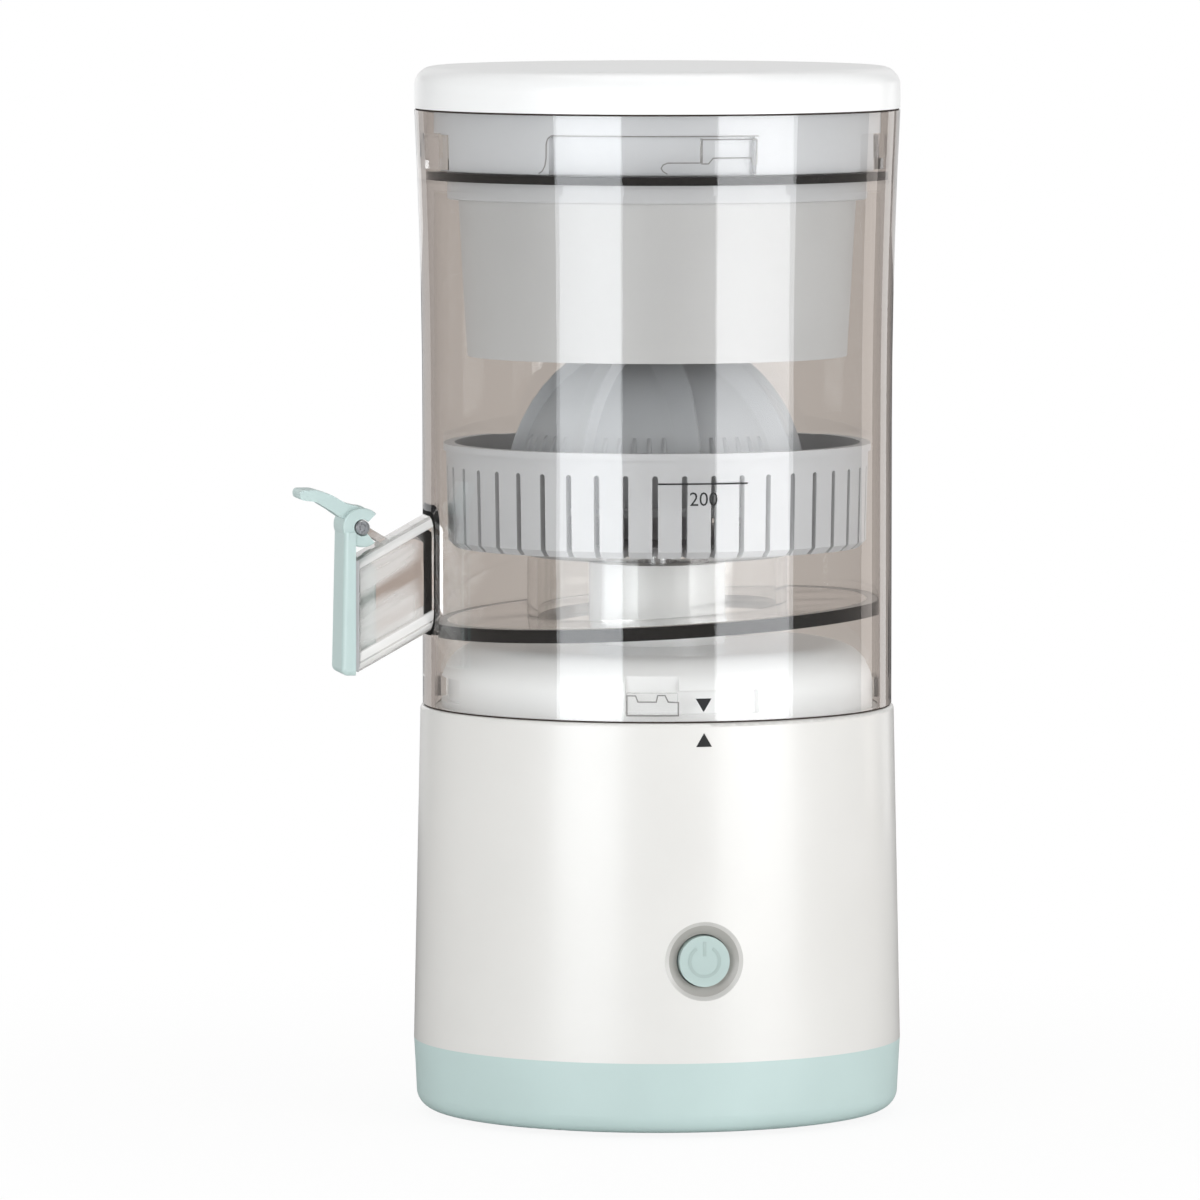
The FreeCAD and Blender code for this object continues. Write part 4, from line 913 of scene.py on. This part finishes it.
@dataclass
class BaseUnit(Assembly):
    """The white body with its mint cover, foot pad, socket and alignment mark."""

    radius: float = 52.5
    foot_level: float = 16.2
    taper: float = 1.5
    height: float = 72.0
    mark_level: float = 84.7
    tongue_width: float = 5.6
    tongue_thick: float = 0.7
    tongue_length: float = 4.4
    tongue_edge: float = 0.18
    socket_face: float = 50.2
    socket_depth: float = 6.0
    socket_level: float = 30.2
    contact_count: int = 6
    contact_width: float = 0.36
    contact_length: float = 3.52
    contact_thick: float = 0.08
    contact_edge: float = 0.02
    edge_segments: int = 2
    screw_count: int = 4
    screw_circle: float = 43.2
    screw_face: float = 8.0
    cross_reach: float = 1.5
    cross_width: float = 0.55
    cross_taper: float = 0.7
    # Where the ring of painted shadow lies in the gap between the cup and the base
    seam_low: float = 88.22
    seam_high: float = 88.56
    seam_inner: float = 48.2
    seam_outer: float = 50.2

    finishes: ClassVar[dict[str, Finish]] = {
        "base_housing": PEARL_WHITE, "bottom_cover": MINT, "anti_slip_pad": PAD_RUBBER,
        "bottom_screws": STEEL, "charge_socket": STEEL}

    def radius_at(self, level: float) -> float:
        """Returns the housing's radius at a height."""
        return self.radius - self.taper * (level - self.foot_level) / self.height

    def build(self) -> None:
        """Adds the alignment mark, the ring of painted shadow at the seat, the socket's tongue and the
        crosses of painted shade on the screws.
        """
        mark = flat_print([triangle(self.mark_level, 1)], -PRINT.bed, PRINT.proud)
        wrap(mark, self.radius_at)
        add_piece("base_mark", mark, MARK_INK, Body.BASE)
        middle = (self.seam_low + self.seam_high) / 2
        shadow_seam = turned([(self.seam_inner, self.seam_low), (self.seam_outer, self.seam_low),
                       (self.seam_outer + PRINT.proud, middle), (self.seam_outer, self.seam_high),
                       (self.seam_inner, self.seam_high)])
        add_piece("seat_shadow_ring", shadow_seam, PAINTED_SEAM_SHADOW, Body.BASE)
        self.build_tongue()
        self.build_crosses()

    def build_tongue(self) -> None:
        """Adds the tongue with raised contacts inside the charging socket."""
        mesh = bmesh.new()
        middle = self.socket_face - self.socket_depth + self.tongue_length / 2
        self.add_bar(mesh, (0, middle, self.socket_level),
                     (self.tongue_width, self.tongue_length, self.tongue_thick), self.tongue_edge)
        pitch = self.tongue_width / (self.contact_count + 1)
        for index in range(self.contact_count):
            x = (index + 1) * pitch - self.tongue_width / 2
            for side in (-1, 1):
                self.add_bar(mesh, (x, middle, self.socket_level + side * self.tongue_thick / 2),
                             (self.contact_width, self.contact_length, self.contact_thick),
                             self.contact_edge)
        add_piece("socket_tongue", mesh, INNER_BLACK, Body.BASE)

    def add_bar(self, mesh: Mesh, centre: Point, size: Point, edge: float) -> None:
        """Adds a bar with rounded edges to a mesh.

        Args:
            mesh: The mesh that grows.
            centre: Middle of the bar in millimetres.
            size: Its three sizes in millimetres.
            edge: Radius of the edges in millimetres.
        """
        made = bmesh.ops.create_cube(mesh, size=1.0)["verts"]
        for vert in made:
            vert.co = Vector([c + v * s for c, v, s in zip(centre, vert.co, size)])
        edges = list({rim for vert in made for rim in vert.link_edges})
        bmesh.ops.bevel(mesh, geom=edges, offset=edge, segments=self.edge_segments, affect="EDGES",
                        profile=ROUND)

    def build_crosses(self) -> None:
        """Adds flat dark crosses of painted shade on the screws under the cover, in place of their cross
        recesses.
        """
        reach, half = self.cross_reach, self.cross_width / 2
        tip = half * self.cross_taper
        arm = [(half, half), (reach, tip), (reach, -tip)]
        cross = []
        # Each of the four arms is a quarter turn on from the last
        for _ in range(4):
            cross += arm
            arm = [(y, -x) for x, y in arm]
        outlines = []
        for index in range(self.screw_count):
            angle = FULL_TURN * (index + 0.5) / self.screw_count
            x, y = self.screw_circle * math.cos(angle), self.screw_circle * math.sin(angle)
            outlines.append([(x + u, y + v) for u, v in cross])
        mesh = flat_print(outlines, self.screw_face - PRINT.proud, self.screw_face + PRINT.bed)
        add_piece("screw_cross_shade", mesh, PAINTED_RECESS_SHADE, Body.BASE)


@dataclass
class PowerButton(Assembly):
    """The round button with its raised symbol, its bezel and the bezel's lip."""

    face: float = 51.9
    level: float = 37.8
    ring_radius: float = 3.2
    stroke: float = 0.66
    gap_deg: float = 64.0
    bar_low: float = 1.1
    bar_high: float = 4.2
    proud: float = 0.09
    ring_steps: int = 40
    weld: float = 1e-4
    bezel_front: float = 51.2
    lip_inner: float = 7.55
    lip_outer: float = 8.42
    lip_proud: float = 0.03
    lip_thick: float = 0.15
    lip_columns: int = 96

    finishes: ClassVar[dict[str, Finish]] = {
        "button_cap": BUTTON_MINT, "button_bezel": BEZEL_GREY, "switch_plunger": INNER_BLACK}

    def build(self) -> None:
        """Adds the symbol and the lip between the bezel and the housing."""
        self.build_symbol()
        self.build_lip()

    def build_symbol(self) -> None:
        """Adds the open ring and the bar of the symbol."""
        half = self.stroke / 2
        inner, outer = self.ring_radius - half, self.ring_radius + half
        start = math.radians(RIGHT_ANGLE_DEG + self.gap_deg / 2)
        sweep = FULL_TURN - math.radians(self.gap_deg)
        angles = [start + sweep * index / self.ring_steps for index in range(self.ring_steps + 1)]
        outlines: list[Outline] = []
        for first, last in zip(angles, angles[1:]):
            corners = ((first, inner), (last, inner), (last, outer), (first, outer))
            outlines.append([(radius * math.cos(angle), radius * math.sin(angle))
                             for angle, radius in corners])
        outlines.append([(-half, self.bar_low), (half, self.bar_low),
                         (half, self.bar_high), (-half, self.bar_high)])
        mesh = flat_print(outlines, -self.proud, self.proud)
        bmesh.ops.remove_doubles(mesh, verts=mesh.verts, dist=self.weld)
        lay_level(mesh, (0.0, self.level), -1, self.face)
        add_piece("power_symbol", mesh, SYMBOL_MINT, Body.BUTTON)

    def build_lip(self) -> None:
        """Adds the soft lip that runs from the bezel's flat rim up to the round housing."""
        mesh = turned([(self.lip_inner, self.lip_proud), (self.lip_outer, self.lip_proud),
                       (self.lip_outer, -self.lip_thick), (self.lip_inner, -self.lip_thick)],
                      self.lip_columns)
        middle = (self.lip_inner + self.lip_outer) / 2
        housing = BaseUnit()
        for vert in mesh.verts:
            along, up, _ = vert.co
            if math.hypot(along, up) > middle:
                vert.co.z += math.sqrt(housing.radius_at(self.level + up) ** 2 - along ** 2)
            else:
                vert.co.z += self.bezel_front
        lay_level(mesh, (0.0, self.level), -1)
        add_piece("bezel_lip", mesh, LIP_GREY, Body.BASE)


@dataclass
class DriveTrain(Assembly):
    """The motor, gears, bushes and shafts inside the base."""

    finishes: ClassVar[dict[str, Finish]] = {
        "gear_plate": INNER_BLACK, "gear_cover": INNER_BLACK, "gear_screws": STEEL, "idler_pin": STEEL,
        "shaft_bush_lower": BRONZE, "shaft_bush_upper": BRONZE, "shaft_seal": BLACK_SEAL_AND_EDGE_SHADE,
        "motor_screws": STEEL, "motor_can": MOTOR_STEEL, "motor_shaft": STEEL,
        "motor_pinion": GEAR_WHITE, "idler_gear": GEAR_WHITE, "output_gear": GEAR_WHITE,
        "drive_shaft": STEEL, "drive_coupling": GEAR_WHITE}


@dataclass
class Electrics(Assembly):
    """The cells, boards and switch inside the base."""

    finishes: ClassVar[dict[str, Finish]] = {
        "battery_tray": INNER_BLACK, "battery_cells": CELL_BLUE, "switch_board": BOARD_GREEN,
        "charge_board": BOARD_GREEN, "tact_switch": INNER_BLACK, "board_screws": STEEL}


@dataclass
class JuiceCup(Assembly):
    """The clear cup with its floor, the black seal pieces that are painted shade at its dark edges, spout
    and printed marks.
    """

    radius: float = 50.5
    mark_level: float = 92.0
    line_level: float = 138.8
    line_length: float = 19.4
    line_width: float = 0.36
    figure_level: float = 135.6
    figure_height: float = 2.9
    figures: str = "200"
    # Paths of the thin lines of painted shade along the lugs' edges
    lug_radius: float = 47.9
    lug_edge: Outline = (
        (-15.65, 89.7), (-15.65, 93.9), (-13.84, 93.9), (-13.34, 92.6), (-9.53, 92.6), (-9.23, 94.0),
        (-7.73, 94.0), (-7.03, 92.6), (-4.93, 92.5), (-4.93, 89.7), (-15.65, 89.7))
    rim_lug_radius: float = 49.6
    rim_lug_edge: Outline = (
        (-0.4, 206.2), (-0.4, 211.3), (11.6, 211.3), (11.6, 206.2), (10.6, 206.2), (10.2, 207.4),
        (2.0, 207.4), (1.0, 206.2), (-0.4, 206.2))
    rim_ledge_edge: Outline = (
        (-7.6, 204.1), (-8.5, 204.6), (-8.9, 205.3), (-8.5, 206.0), (-7.6, 206.4), (-0.6, 206.4))
    pin_spot: Spot = (-65.4, 127.4)
    pin_head: Outline = (
        (0.02, 4.9), (1.55, 4.9), (1.55, 6.5), (1.3, 6.72), (0.75, 6.72), (0.7, 6.45), (0.02, 6.45))
    pin_columns: int = 40

    # The floor seal, rim seal and spout gasket are painted shade where the clear plastic's edges show dark
    finishes: ClassVar[dict[str, Finish]] = {
        "juice_cup": CLEAR, "cup_floor": CLEAR, "spout": SPOUT_CLEAR, "floor_seal": FLOOR_RING_SHADE,
        "rim_seal": BLACK_SEAL_AND_EDGE_SHADE, "spout_gasket": BLACK_SEAL_AND_EDGE_SHADE, "strainer": FOOD_GREY}

    def build(self) -> None:
        """Prints the marks and adds the thin lines of painted shade along the lugs' edges and the recessed
        steel ends of the hinge pin.
        """
        self.build_marks()
        self.build_edges()
        ends = on_hinge(self.pin_spot, self.pin_head, self.pin_columns)
        add_piece("hinge_pin_ends", ends, STEEL, Body.CUP)

    def build_marks(self) -> None:
        """Prints the downward triangle, the fill line and its figures."""
        bed, top = PRINT.bed, PRINT.bed + PRINT.proud
        low, high = self.line_level - self.line_width / 2, self.line_level + self.line_width / 2
        reach = self.line_length / 2
        line = [(-reach, low), (reach, low), (reach, high), (-reach, high)]
        figures = lettering(self.figures, self.figure_height, self.figure_level, bed, top)
        for name, mesh in (("cup_mark", flat_print([triangle(self.mark_level, -1)], bed, top)),
                           ("fill_line", flat_print([line], bed, top)), ("fill_figures", figures)):
            wrap(mesh, lambda level: self.radius)
            add_piece(name, mesh, MARK_INK, Body.CUP)

    def build_edges(self) -> None:
        """Adds thin grey lines of painted shade along the edges of the lugs at the foot and the rim."""
        rim_edges = [self.rim_lug_edge, self.rim_ledge_edge]
        for name, radius, paths in (("foot_lug_edge_shade", self.lug_radius, [self.lug_edge]),
                                    ("rim_lug_edge_shade", self.rim_lug_radius, rim_edges)):
            mesh = ribbon(paths, PRINT.edge_width, PRINT.proud * 2)
            wrap(mesh, lambda level, radius=radius: radius)
            add_piece(name, mesh, PAINTED_EDGE_SHADE, Body.CUP)


@dataclass
class Reamer(Assembly):
    """The grey reamer with sharp blades, short fins and a hollow underside."""

    level: float = 135.7
    low: float = 130.4
    ball: float = 31.0
    wall: float = 2.4
    edge: float = 0.35
    collar_radius: float = 34.5
    collar_top: float = 132.4
    blade_count: int = 8
    blade_turn_deg: float = 5.0
    blade_proud: float = 2.5
    blade_run: float = 4.1
    blade_spread: float = 0.136
    blade_drop: float = 1.0
    blade_form: Outline = (
        (-1.0, 0.0), (-0.96, 0.02), (-0.55, 0.44), (-0.1, 0.9), (-0.04, 0.94), (0.06, 0.92), (0.25, 0.76),
        (0.6, 0.38), (0.94, 0.04), (1.0, 0.0))
    run_share: float = 0.55
    drop_share: float = 0.1
    full_blade_radius: float = 9.0
    # Columns of each blade that take the painted highlight on the crest
    crest_columns: tuple[int, ...] = (3, 4, 5)
    valley_columns: int = 14
    rows: int = 44
    sharp_deg: float = 40.0
    tip_radius: float = 5.5
    tip_end: float = 1.6
    tip_height: float = 5.0
    tip_waist: float = 0.6
    centre_radius: float = 0.02
    hollow_rows: int = 12
    hub_radius: float = 8.5
    hub_low: float = 143.0
    socket_radius: float = 5.45
    socket_sides: int = 6
    socket_top: float = 150.7
    fin_count: int = 5
    fin_step_deg: float = 6.2
    fin_place: float = 0.43
    fin_width: float = 1.3
    fin_proud: float = 0.9
    fin_sink: float = 0.3
    fin_top: float = 147.5
    fin_rows: int = 8
    fin_fade: int = 6
    fin_sharp_deg: float = 60.0
    fin_form: Outline = ((-0.5, -0.3), (-0.3, 0.75), (0.0, 1.0), (0.3, 0.75), (0.5, -0.3))

    def build(self) -> None:
        """Adds the bladed shell and its short fins, in place of the plain reamer."""
        for item in (self.build_shell(), self.build_fins()):
            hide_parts("reamer")

    def columns(self, radius: float) -> list[tuple[float, float]]:
        """Returns the directions round the axis, closest together at the blades.

        Args:
            radius: Distance from the axis in millimetres.

        Returns:
            Each column's direction in radians and how far its blade stands proud in millimetres.
        """
        step = FULL_TURN / self.blade_count
        room = step * radius
        run = min(self.blade_run + self.blade_spread * (self.ball - radius), self.run_share * room)
        drop = min(self.blade_drop, self.drop_share * room)
        proud = self.blade_proud * min(1.0, radius / self.full_blade_radius)
        result = []
        for blade in range(self.blade_count):
            crest = math.radians(self.blade_turn_deg) + blade * step
            for place, share in self.blade_form:
                away = place * (run if place < 0 else drop)
                result.append((crest + away / radius, share * proud))
            for column in range(1, self.valley_columns):
                away = drop + (room - run - drop) * column / self.valley_columns
                result.append((crest + away / radius, 0.0))
        return result

    def arc(self, size: float, first: float, last: float, rows: int) -> list[Spot]:
        """Returns points on an arc round the middle of the ball.

        Args:
            size: Radius of the arc in millimetres.
            first: Where it starts, in radians from straight up.
            last: Where it ends.
            rows: Number of steps.

        Returns:
            Radius and height of each point in millimetres.
        """
        polars = [first + (last - first) * row / rows for row in range(rows + 1)]
        return [(size * math.sin(polar), self.level + size * math.cos(polar)) for polar in polars]

    def rings(self) -> list[tuple[float, float, Ring]]:
        """Returns the reamer's rings from the socket out through the hollow and over the tip.

        Returns:
            Each ring's radius and height in millimetres and how it is shaped.
        """
        inner = self.ball - self.wall
        mouth = math.acos((self.low - self.level) / inner)
        roof = math.asin(self.hub_radius / inner)
        start = math.acos((self.collar_top - self.level) / self.ball)
        stop = math.asin(self.tip_radius / self.ball)
        tip = self.level + self.ball * math.cos(stop)
        top = tip + self.tip_height
        collar, edge = self.collar_radius, self.edge
        hollow = [(self.hub_radius, self.hub_low), *self.arc(inner, roof, mouth, self.hollow_rows),
                  (collar - edge, self.low), (collar, self.low + edge), (collar, self.collar_top - edge),
                  (collar - edge, self.collar_top)]
        crown = [((self.tip_radius + self.tip_end) / 2, tip + self.tip_height * self.tip_waist),
                 (self.tip_end, top - edge), (self.tip_end - edge, top), (self.centre_radius, top)]
        socket = [(self.socket_radius, self.socket_top), (self.socket_radius, self.hub_low)]
        runs = ((Ring.PLAIN, [(self.centre_radius, self.socket_top)]), (Ring.HEX, socket),
                (Ring.PLAIN, hollow), (Ring.BLADED, self.arc(self.ball, start, stop, self.rows)),
                (Ring.PLAIN, crown))
        return [(radius, level, kind) for kind, places in runs for radius, level in places]

    def hexagon(self, angle: float) -> float:
        """Returns the radius of the hex socket in a direction."""
        part = FULL_TURN / self.socket_sides
        return self.socket_radius * math.cos(part / 2) / math.cos(angle % part - part / 2)

    def build_shell(self) -> bpy.types.Object:
        """Adds the bladed shell, with painted highlights on the crests.

        Returns:
            The new object.
        """
        mesh = bmesh.new()
        loops = []
        for radius, level, kind in self.rings():
            loop = []
            for angle, proud in self.columns(radius if kind is Ring.BLADED else self.ball):
                grow = 1 + proud / self.ball if kind is Ring.BLADED else 1
                reach = self.hexagon(angle) if kind is Ring.HEX else radius * grow
                loop.append(round_vert(mesh, reach, angle, self.level + (level - self.level) * grow))
            loops.append(loop)
        per_blade = len(loops[0]) // self.blade_count
        # Faces along each crest take the painted highlight
        for index, face in enumerate(loft(mesh, loops)):
            face.material_index = int(index % per_blade in self.crest_columns)
        shell = add_piece("reamer_shell", mesh, REAMER_SHADED_GREY, Body.REAMER, self.sharp_deg)
        shell.data.materials.append(CREST_HIGHLIGHT.material())
        return shell

    def build_fins(self) -> bpy.types.Object:
        """Adds the short fins between the blades, just above the collar.

        Returns:
            The new object.
        """
        mesh = bmesh.new()
        step = FULL_TURN_DEG / self.blade_count
        for blade in range(self.blade_count):
            for index in range(self.fin_count):
                away = (index - (self.fin_count - 1) / 2) * self.fin_step_deg
                angle = math.radians(self.blade_turn_deg + (blade + self.fin_place) * step + away)
                rows = []
                for row in range(self.fin_rows + 1):
                    share = row / self.fin_rows
                    level = self.collar_top - self.fin_sink + (self.fin_top - self.collar_top) * share
                    radius = math.sqrt(self.ball ** 2 - (level - self.level) ** 2)
                    proud = self.fin_proud * math.sqrt(max(0.0, 1 - share ** self.fin_fade))
                    rows.append([round_vert(mesh, radius + (out * proud if out > 0 else out),
                                            angle + along * self.fin_width / radius, level)
                                 for along, out in self.fin_form])
                loft(mesh, rows)
        return add_piece("reamer_fins", mesh, REAMER_SHADED_GREY, Body.REAMER, self.fin_sharp_deg)


@dataclass
class SpoutCap(Assembly):
    """The hinged mint flap with its plug, its seal and the cheeks that hold the pin."""

    cheek_bore: float = 1.75
    cheek_radius: float = 4.2
    cheek_low: float = 5.06
    cheek_high: float = 6.5
    cheek_edge: float = 0.35
    cheek_bow: float = 0.3
    cheek_start_deg: float = 45.0
    cheek_sweep_deg: float = 264.0
    cheek_columns: int = 48
    plug_half: float = 4.9
    plug_corners: Outline = ((-66.6, 98.5), (-66.6, 117.4), (-62.3, 119.0), (-62.3, 100.7))
    plug_edge: float = 0.6
    plug_segments: int = 3
    plug_flat_rad: float = 0.01

    finishes: ClassVar[dict[str, Finish]] = {"spout_cap": MINT, "spout_cap_seal": FOOD_GREY}

    def build(self) -> None:
        """Adds the cheeks beside the arm and the plug in the spout's mouth."""
        bore, radius, high, edge = self.cheek_bore, self.cheek_radius, self.cheek_high, self.cheek_edge
        bow = edge * self.cheek_bow
        profile = [(bore, self.cheek_low), (radius, self.cheek_low), (radius, high - edge),
                   (radius - bow, high - bow), (radius - edge, high), (bore + edge / 2, high),
                   (bore, high - edge / 2)]
        cheeks = on_hinge(JuiceCup.pin_spot, profile, self.cheek_columns, self.cheek_start_deg,
                          self.cheek_sweep_deg)
        add_piece("hinge_cheeks", cheeks, MINT, Body.CAP)
        plug = flat_print([self.plug_corners], -self.plug_half, self.plug_half)
        bmesh.ops.dissolve_limit(plug, angle_limit=self.plug_flat_rad, verts=plug.verts, edges=plug.edges)
        bmesh.ops.bevel(plug, geom=plug.edges, offset=self.plug_edge, segments=self.plug_segments,
                        affect="EDGES", profile=ROUND)
        lay_level(plug, (0.0, 0.0), 1)
        add_piece("cap_plug", plug, PLUG_GREY, Body.CAP)


@dataclass
class Lid(Assembly):
    """The white lid with the grey press, its fruit grip and screws."""

    # The ring of painted shadow in the gap between the lid and the cup's rim
    shadow_seam: Outline = (
        (50.3, 216.23), (51.85, 216.23), (51.95, 216.4), (51.85, 216.57), (50.3, 216.57))
    collar: Outline = (
        (42.2, 203.5), (45.1, 203.5), (45.1, 198.2), (44.9, 197.8), (44.5, 197.6), (42.2, 197.6))
    skirt_radius: float = 48.0
    # Path of the line of painted shade along the edge of the skirt's notch
    notch_edge_shade: Outline = (
        (-35.3, 203.9), (-34.4, 204.5), (-33.8, 205.6), (-33.5, 207.2), (-33.45, 210.2), (-33.1, 211.3),
        (-32.2, 211.95), (12.4, 211.95))

    finishes: ClassVar[dict[str, Finish]] = {
        "lid_cap": LID_WHITE, "fruit_press": PRESS_GREY, "fruit_grip": FOOD_GREY, "lid_screws": STEEL}

    def build(self) -> None:
        """Adds the ring of painted shadow at the rim, the press's collar and the line of painted shade along
        the edge of the skirt's notch.
        """
        add_piece("rim_shadow_ring", turned(self.shadow_seam), PAINTED_SEAM_SHADOW, Body.LID)
        add_piece("press_collar", turned(self.collar), FOOD_GREY, Body.LID)
        mesh = ribbon([self.notch_edge_shade], PRINT.edge_width, PRINT.proud * 2)
        wrap(mesh, lambda level: self.skirt_radius)
        add_piece("notch_edge_shade", mesh, PAINTED_EDGE_SHADE, Body.LID)


@dataclass(frozen=True)
class Softbox:
    """A soft lamp that faces the object, and a twin of it that shows only in reflections.

    The radiance is the lamp's own brightness and gloss is its twin's. A lamp of no brightness isn't
    made.
    """

    name: str
    azimuth_deg: float
    distance: float
    level: float
    width: float
    height: float
    radiance: float
    gloss: float = 0.0
    tint: Colour = WHITE
    mirrored: bool = True
    seen_through: bool = True


@dataclass
class Studio:
    """The pale floor, the soft lamps and the camera at the photograph's angle."""

    azimuth_deg: float = -10.9
    pitch_deg: float = 4.37
    distance: float = 2.277
    field_deg: float = 6.5
    sensor_width: float = 36.0
    aim_level: float = 0.1105
    aim_left: float = 0.0123
    floor_radius: float = 9.0
    floor_segments: int = 96
    floor_colour: Colour = (248, 248, 247)
    ambient: float = 0.52
    room: Colour = (184, 175, 169)
    dark: Colour = (88, 88, 90)
    floor_glow: float = 0.9
    glow_start: float = 0.1
    glow_end: float = 0.3
    boxes: tuple[Softbox, ...] = (
        Softbox("left_strip", -33.0, 0.8, 0.18, 0.46, 0.36, 3.7, 3.9, (247, 251, 255)),
        Softbox("right_strip", 48.0, 0.8, 0.18, 0.58, 0.36, 3.5, 3.6, (250, 252, 255)),
        Softbox("left_mirror", -33.0, 0.78, 0.18, 0.45, 0.36, 0.0, 0.7, (247, 251, 255)),
        Softbox("right_mirror", 48.0, 0.78, 0.18, 0.57, 0.36, 0.0, 0.7, (250, 252, 255)),
        Softbox("left_fill", -104.0, 1.0, 0.2, 0.6, 0.6, 0.9, mirrored=False, seen_through=False),
        Softbox("right_fill", 108.0, 1.0, 0.2, 0.6, 0.6, 1.6, mirrored=False, seen_through=False),
        Softbox("left_rim", -156.0, 0.7, 0.12, 0.3, 0.36, 0.0, 0.5, seen_through=False),
        Softbox("right_rim", 144.0, 0.7, 0.12, 0.13, 0.36, 0.0, 1.0, seen_through=False),
        Softbox("right_glint", 122.0, 0.7, 0.2, 0.14, 0.36, 0.0, 1.3, (255, 246, 240), seen_through=False),
        Softbox("back_fill", 180.0, 1.6, 0.6, 1.4, 1.0, 0.6, 0.7, seen_through=False))
    top: Softbox = Softbox("top_box", 0.0, 0.0, 1.6, 1.2, 1.2, 1.5)

    def toward(self, relative_deg: float) -> Vector:
        """Returns the level direction at an angle to the right of the camera."""
        angle = math.radians(self.azimuth_deg - RIGHT_ANGLE_DEG + relative_deg)
        return Vector((math.cos(angle), math.sin(angle), 0))

    def build(self) -> None:
        """Builds the floor, the lamps, the surrounding light and the camera."""
        self.build_floor()
        for box in self.boxes:
            aim = Vector((0, 0, box.level))
            self.add_lamp(box, self.toward(box.azimuth_deg) * box.distance + aim, aim)
        self.add_lamp(self.top, Vector((0, 0, self.top.level)), Vector((0, 0, 0)))
        self.build_world()
        self.build_camera()

    @staticmethod
    def add_lamp(box: Softbox, place: Vector, aim: Vector) -> None:
        """Adds a rectangular lamp and its twin.

        Args:
            box: Its name, size, brightness and tint.
            place: Its middle in metres.
            aim: The point that it faces.
        """
        twins = ((box.name, box.radiance, True), (box.name + "_gloss", box.gloss, False))
        for name, radiance, lights in twins:
            if not radiance:
                continue
            lamp = bpy.data.lights.new(name, "AREA")
            lamp.shape = "RECTANGLE"
            lamp.size = box.width
            lamp.size_y = box.height
            lamp.color = linear(box.tint)[:3]
            lamp.energy = radiance * math.pi * box.width * box.height
            item = bpy.data.objects.new(name, lamp)
            item.location = place
            item.rotation_euler = (aim - place).to_track_quat("-Z", "Y").to_euler()
            item.visible_camera = False
            item.visible_diffuse = lights
            item.visible_glossy = box.mirrored
            item.visible_transmission = box.seen_through
            bpy.context.scene.collection.objects.link(item)

    def by_ray(self, graph: Graph, kind: str, plain: Wire, shown: Wire) -> Wire:
        """Shows the camera white, clear plastic a dim room and reflections a dark room.

        Args:
            graph: The graph of the floor or the world.
            kind: The node type that glows there.
            plain: The shader that all other rays meet.
            shown: How much of the white a ray gets.

        Returns:
            The whole shader.
        """
        dim, dark, white = (graph.node(kind, inputs={"Color": linear(colour)})
                            for colour in (self.room, self.dark, WHITE))
        around = graph.blend(graph.ray("Is Glossy Ray"), plain, dark)
        behind = graph.blend(graph.ray("Is Transmission Ray"), around, dim)
        return graph.blend(shown, behind, white)

    def build_floor(self) -> None:
        """Adds the round floor, which keeps the shadow and fades to the background."""
        mesh = bmesh.new()
        bmesh.ops.create_circle(mesh, cap_ends=True, radius=self.floor_radius, segments=self.floor_segments)
        item = add_object("floor", mesh)
        made = bpy.data.materials.new("pale_floor")
        made.use_nodes = True
        graph = Graph(made.node_tree)
        matte = graph.node("ShaderNodeBsdfDiffuse", inputs={"Color": linear(self.floor_colour)})
        fade = graph.span(graph.reach(graph.coords()), self.glow_start, self.glow_end, self.floor_glow)
        shown = graph.ray("Is Camera Ray") * fade
        graph.surface(self.by_ray(graph, "ShaderNodeEmission", matte, shown))
        item.data.materials.append(made)

    def build_world(self) -> None:
        """Surrounds the scene with even light, a dim room behind clear plastic and a white background."""
        world = bpy.data.worlds.new("white_room")
        bpy.context.scene.world = world
        world.use_nodes = True
        graph = Graph(world.node_tree)
        light = graph.node("ShaderNodeBackground", inputs={"Color": linear(WHITE), "Strength": self.ambient})
        shader = self.by_ray(graph, "ShaderNodeBackground", light, graph.ray("Is Camera Ray"))
        graph.node("ShaderNodeOutputWorld", inputs={"Surface": shader})

    def build_camera(self) -> None:
        """Adds the camera, level and at the photograph's distance."""
        pitch = math.radians(self.pitch_deg)
        aim = Vector((0, 0, self.aim_level)) - self.toward(RIGHT_ANGLE_DEG) * self.aim_left
        back = self.toward(0.0) * math.cos(pitch) + Vector((0, 0, math.sin(pitch)))
        lens = bpy.data.cameras.new("photo_camera")
        lens.sensor_width = self.sensor_width
        lens.lens = self.sensor_width / 2 / math.tan(math.radians(self.field_deg) / 2)
        item = bpy.data.objects.new("photo_camera", lens)
        item.location = aim + back * self.distance
        item.rotation_euler = (-back).to_track_quat("-Z", "Y").to_euler()
        bpy.context.scene.collection.objects.link(item)
        bpy.context.scene.camera = item


def main() -> None:
    """Dresses and completes each assembly, then sets the studio round them."""
    logging.basicConfig(level=logging.INFO, format="%(name)s: %(message)s")
    for kind in (BaseUnit, PowerButton, DriveTrain, Electrics, JuiceCup, Reamer, SpoutCap, Lid):
        assembly = kind()
        assembly.dress()
        assembly.build()
    Studio().build()
    bpy.context.scene.view_settings.view_transform = "Standard"


if __name__ == "__main__":
    main()
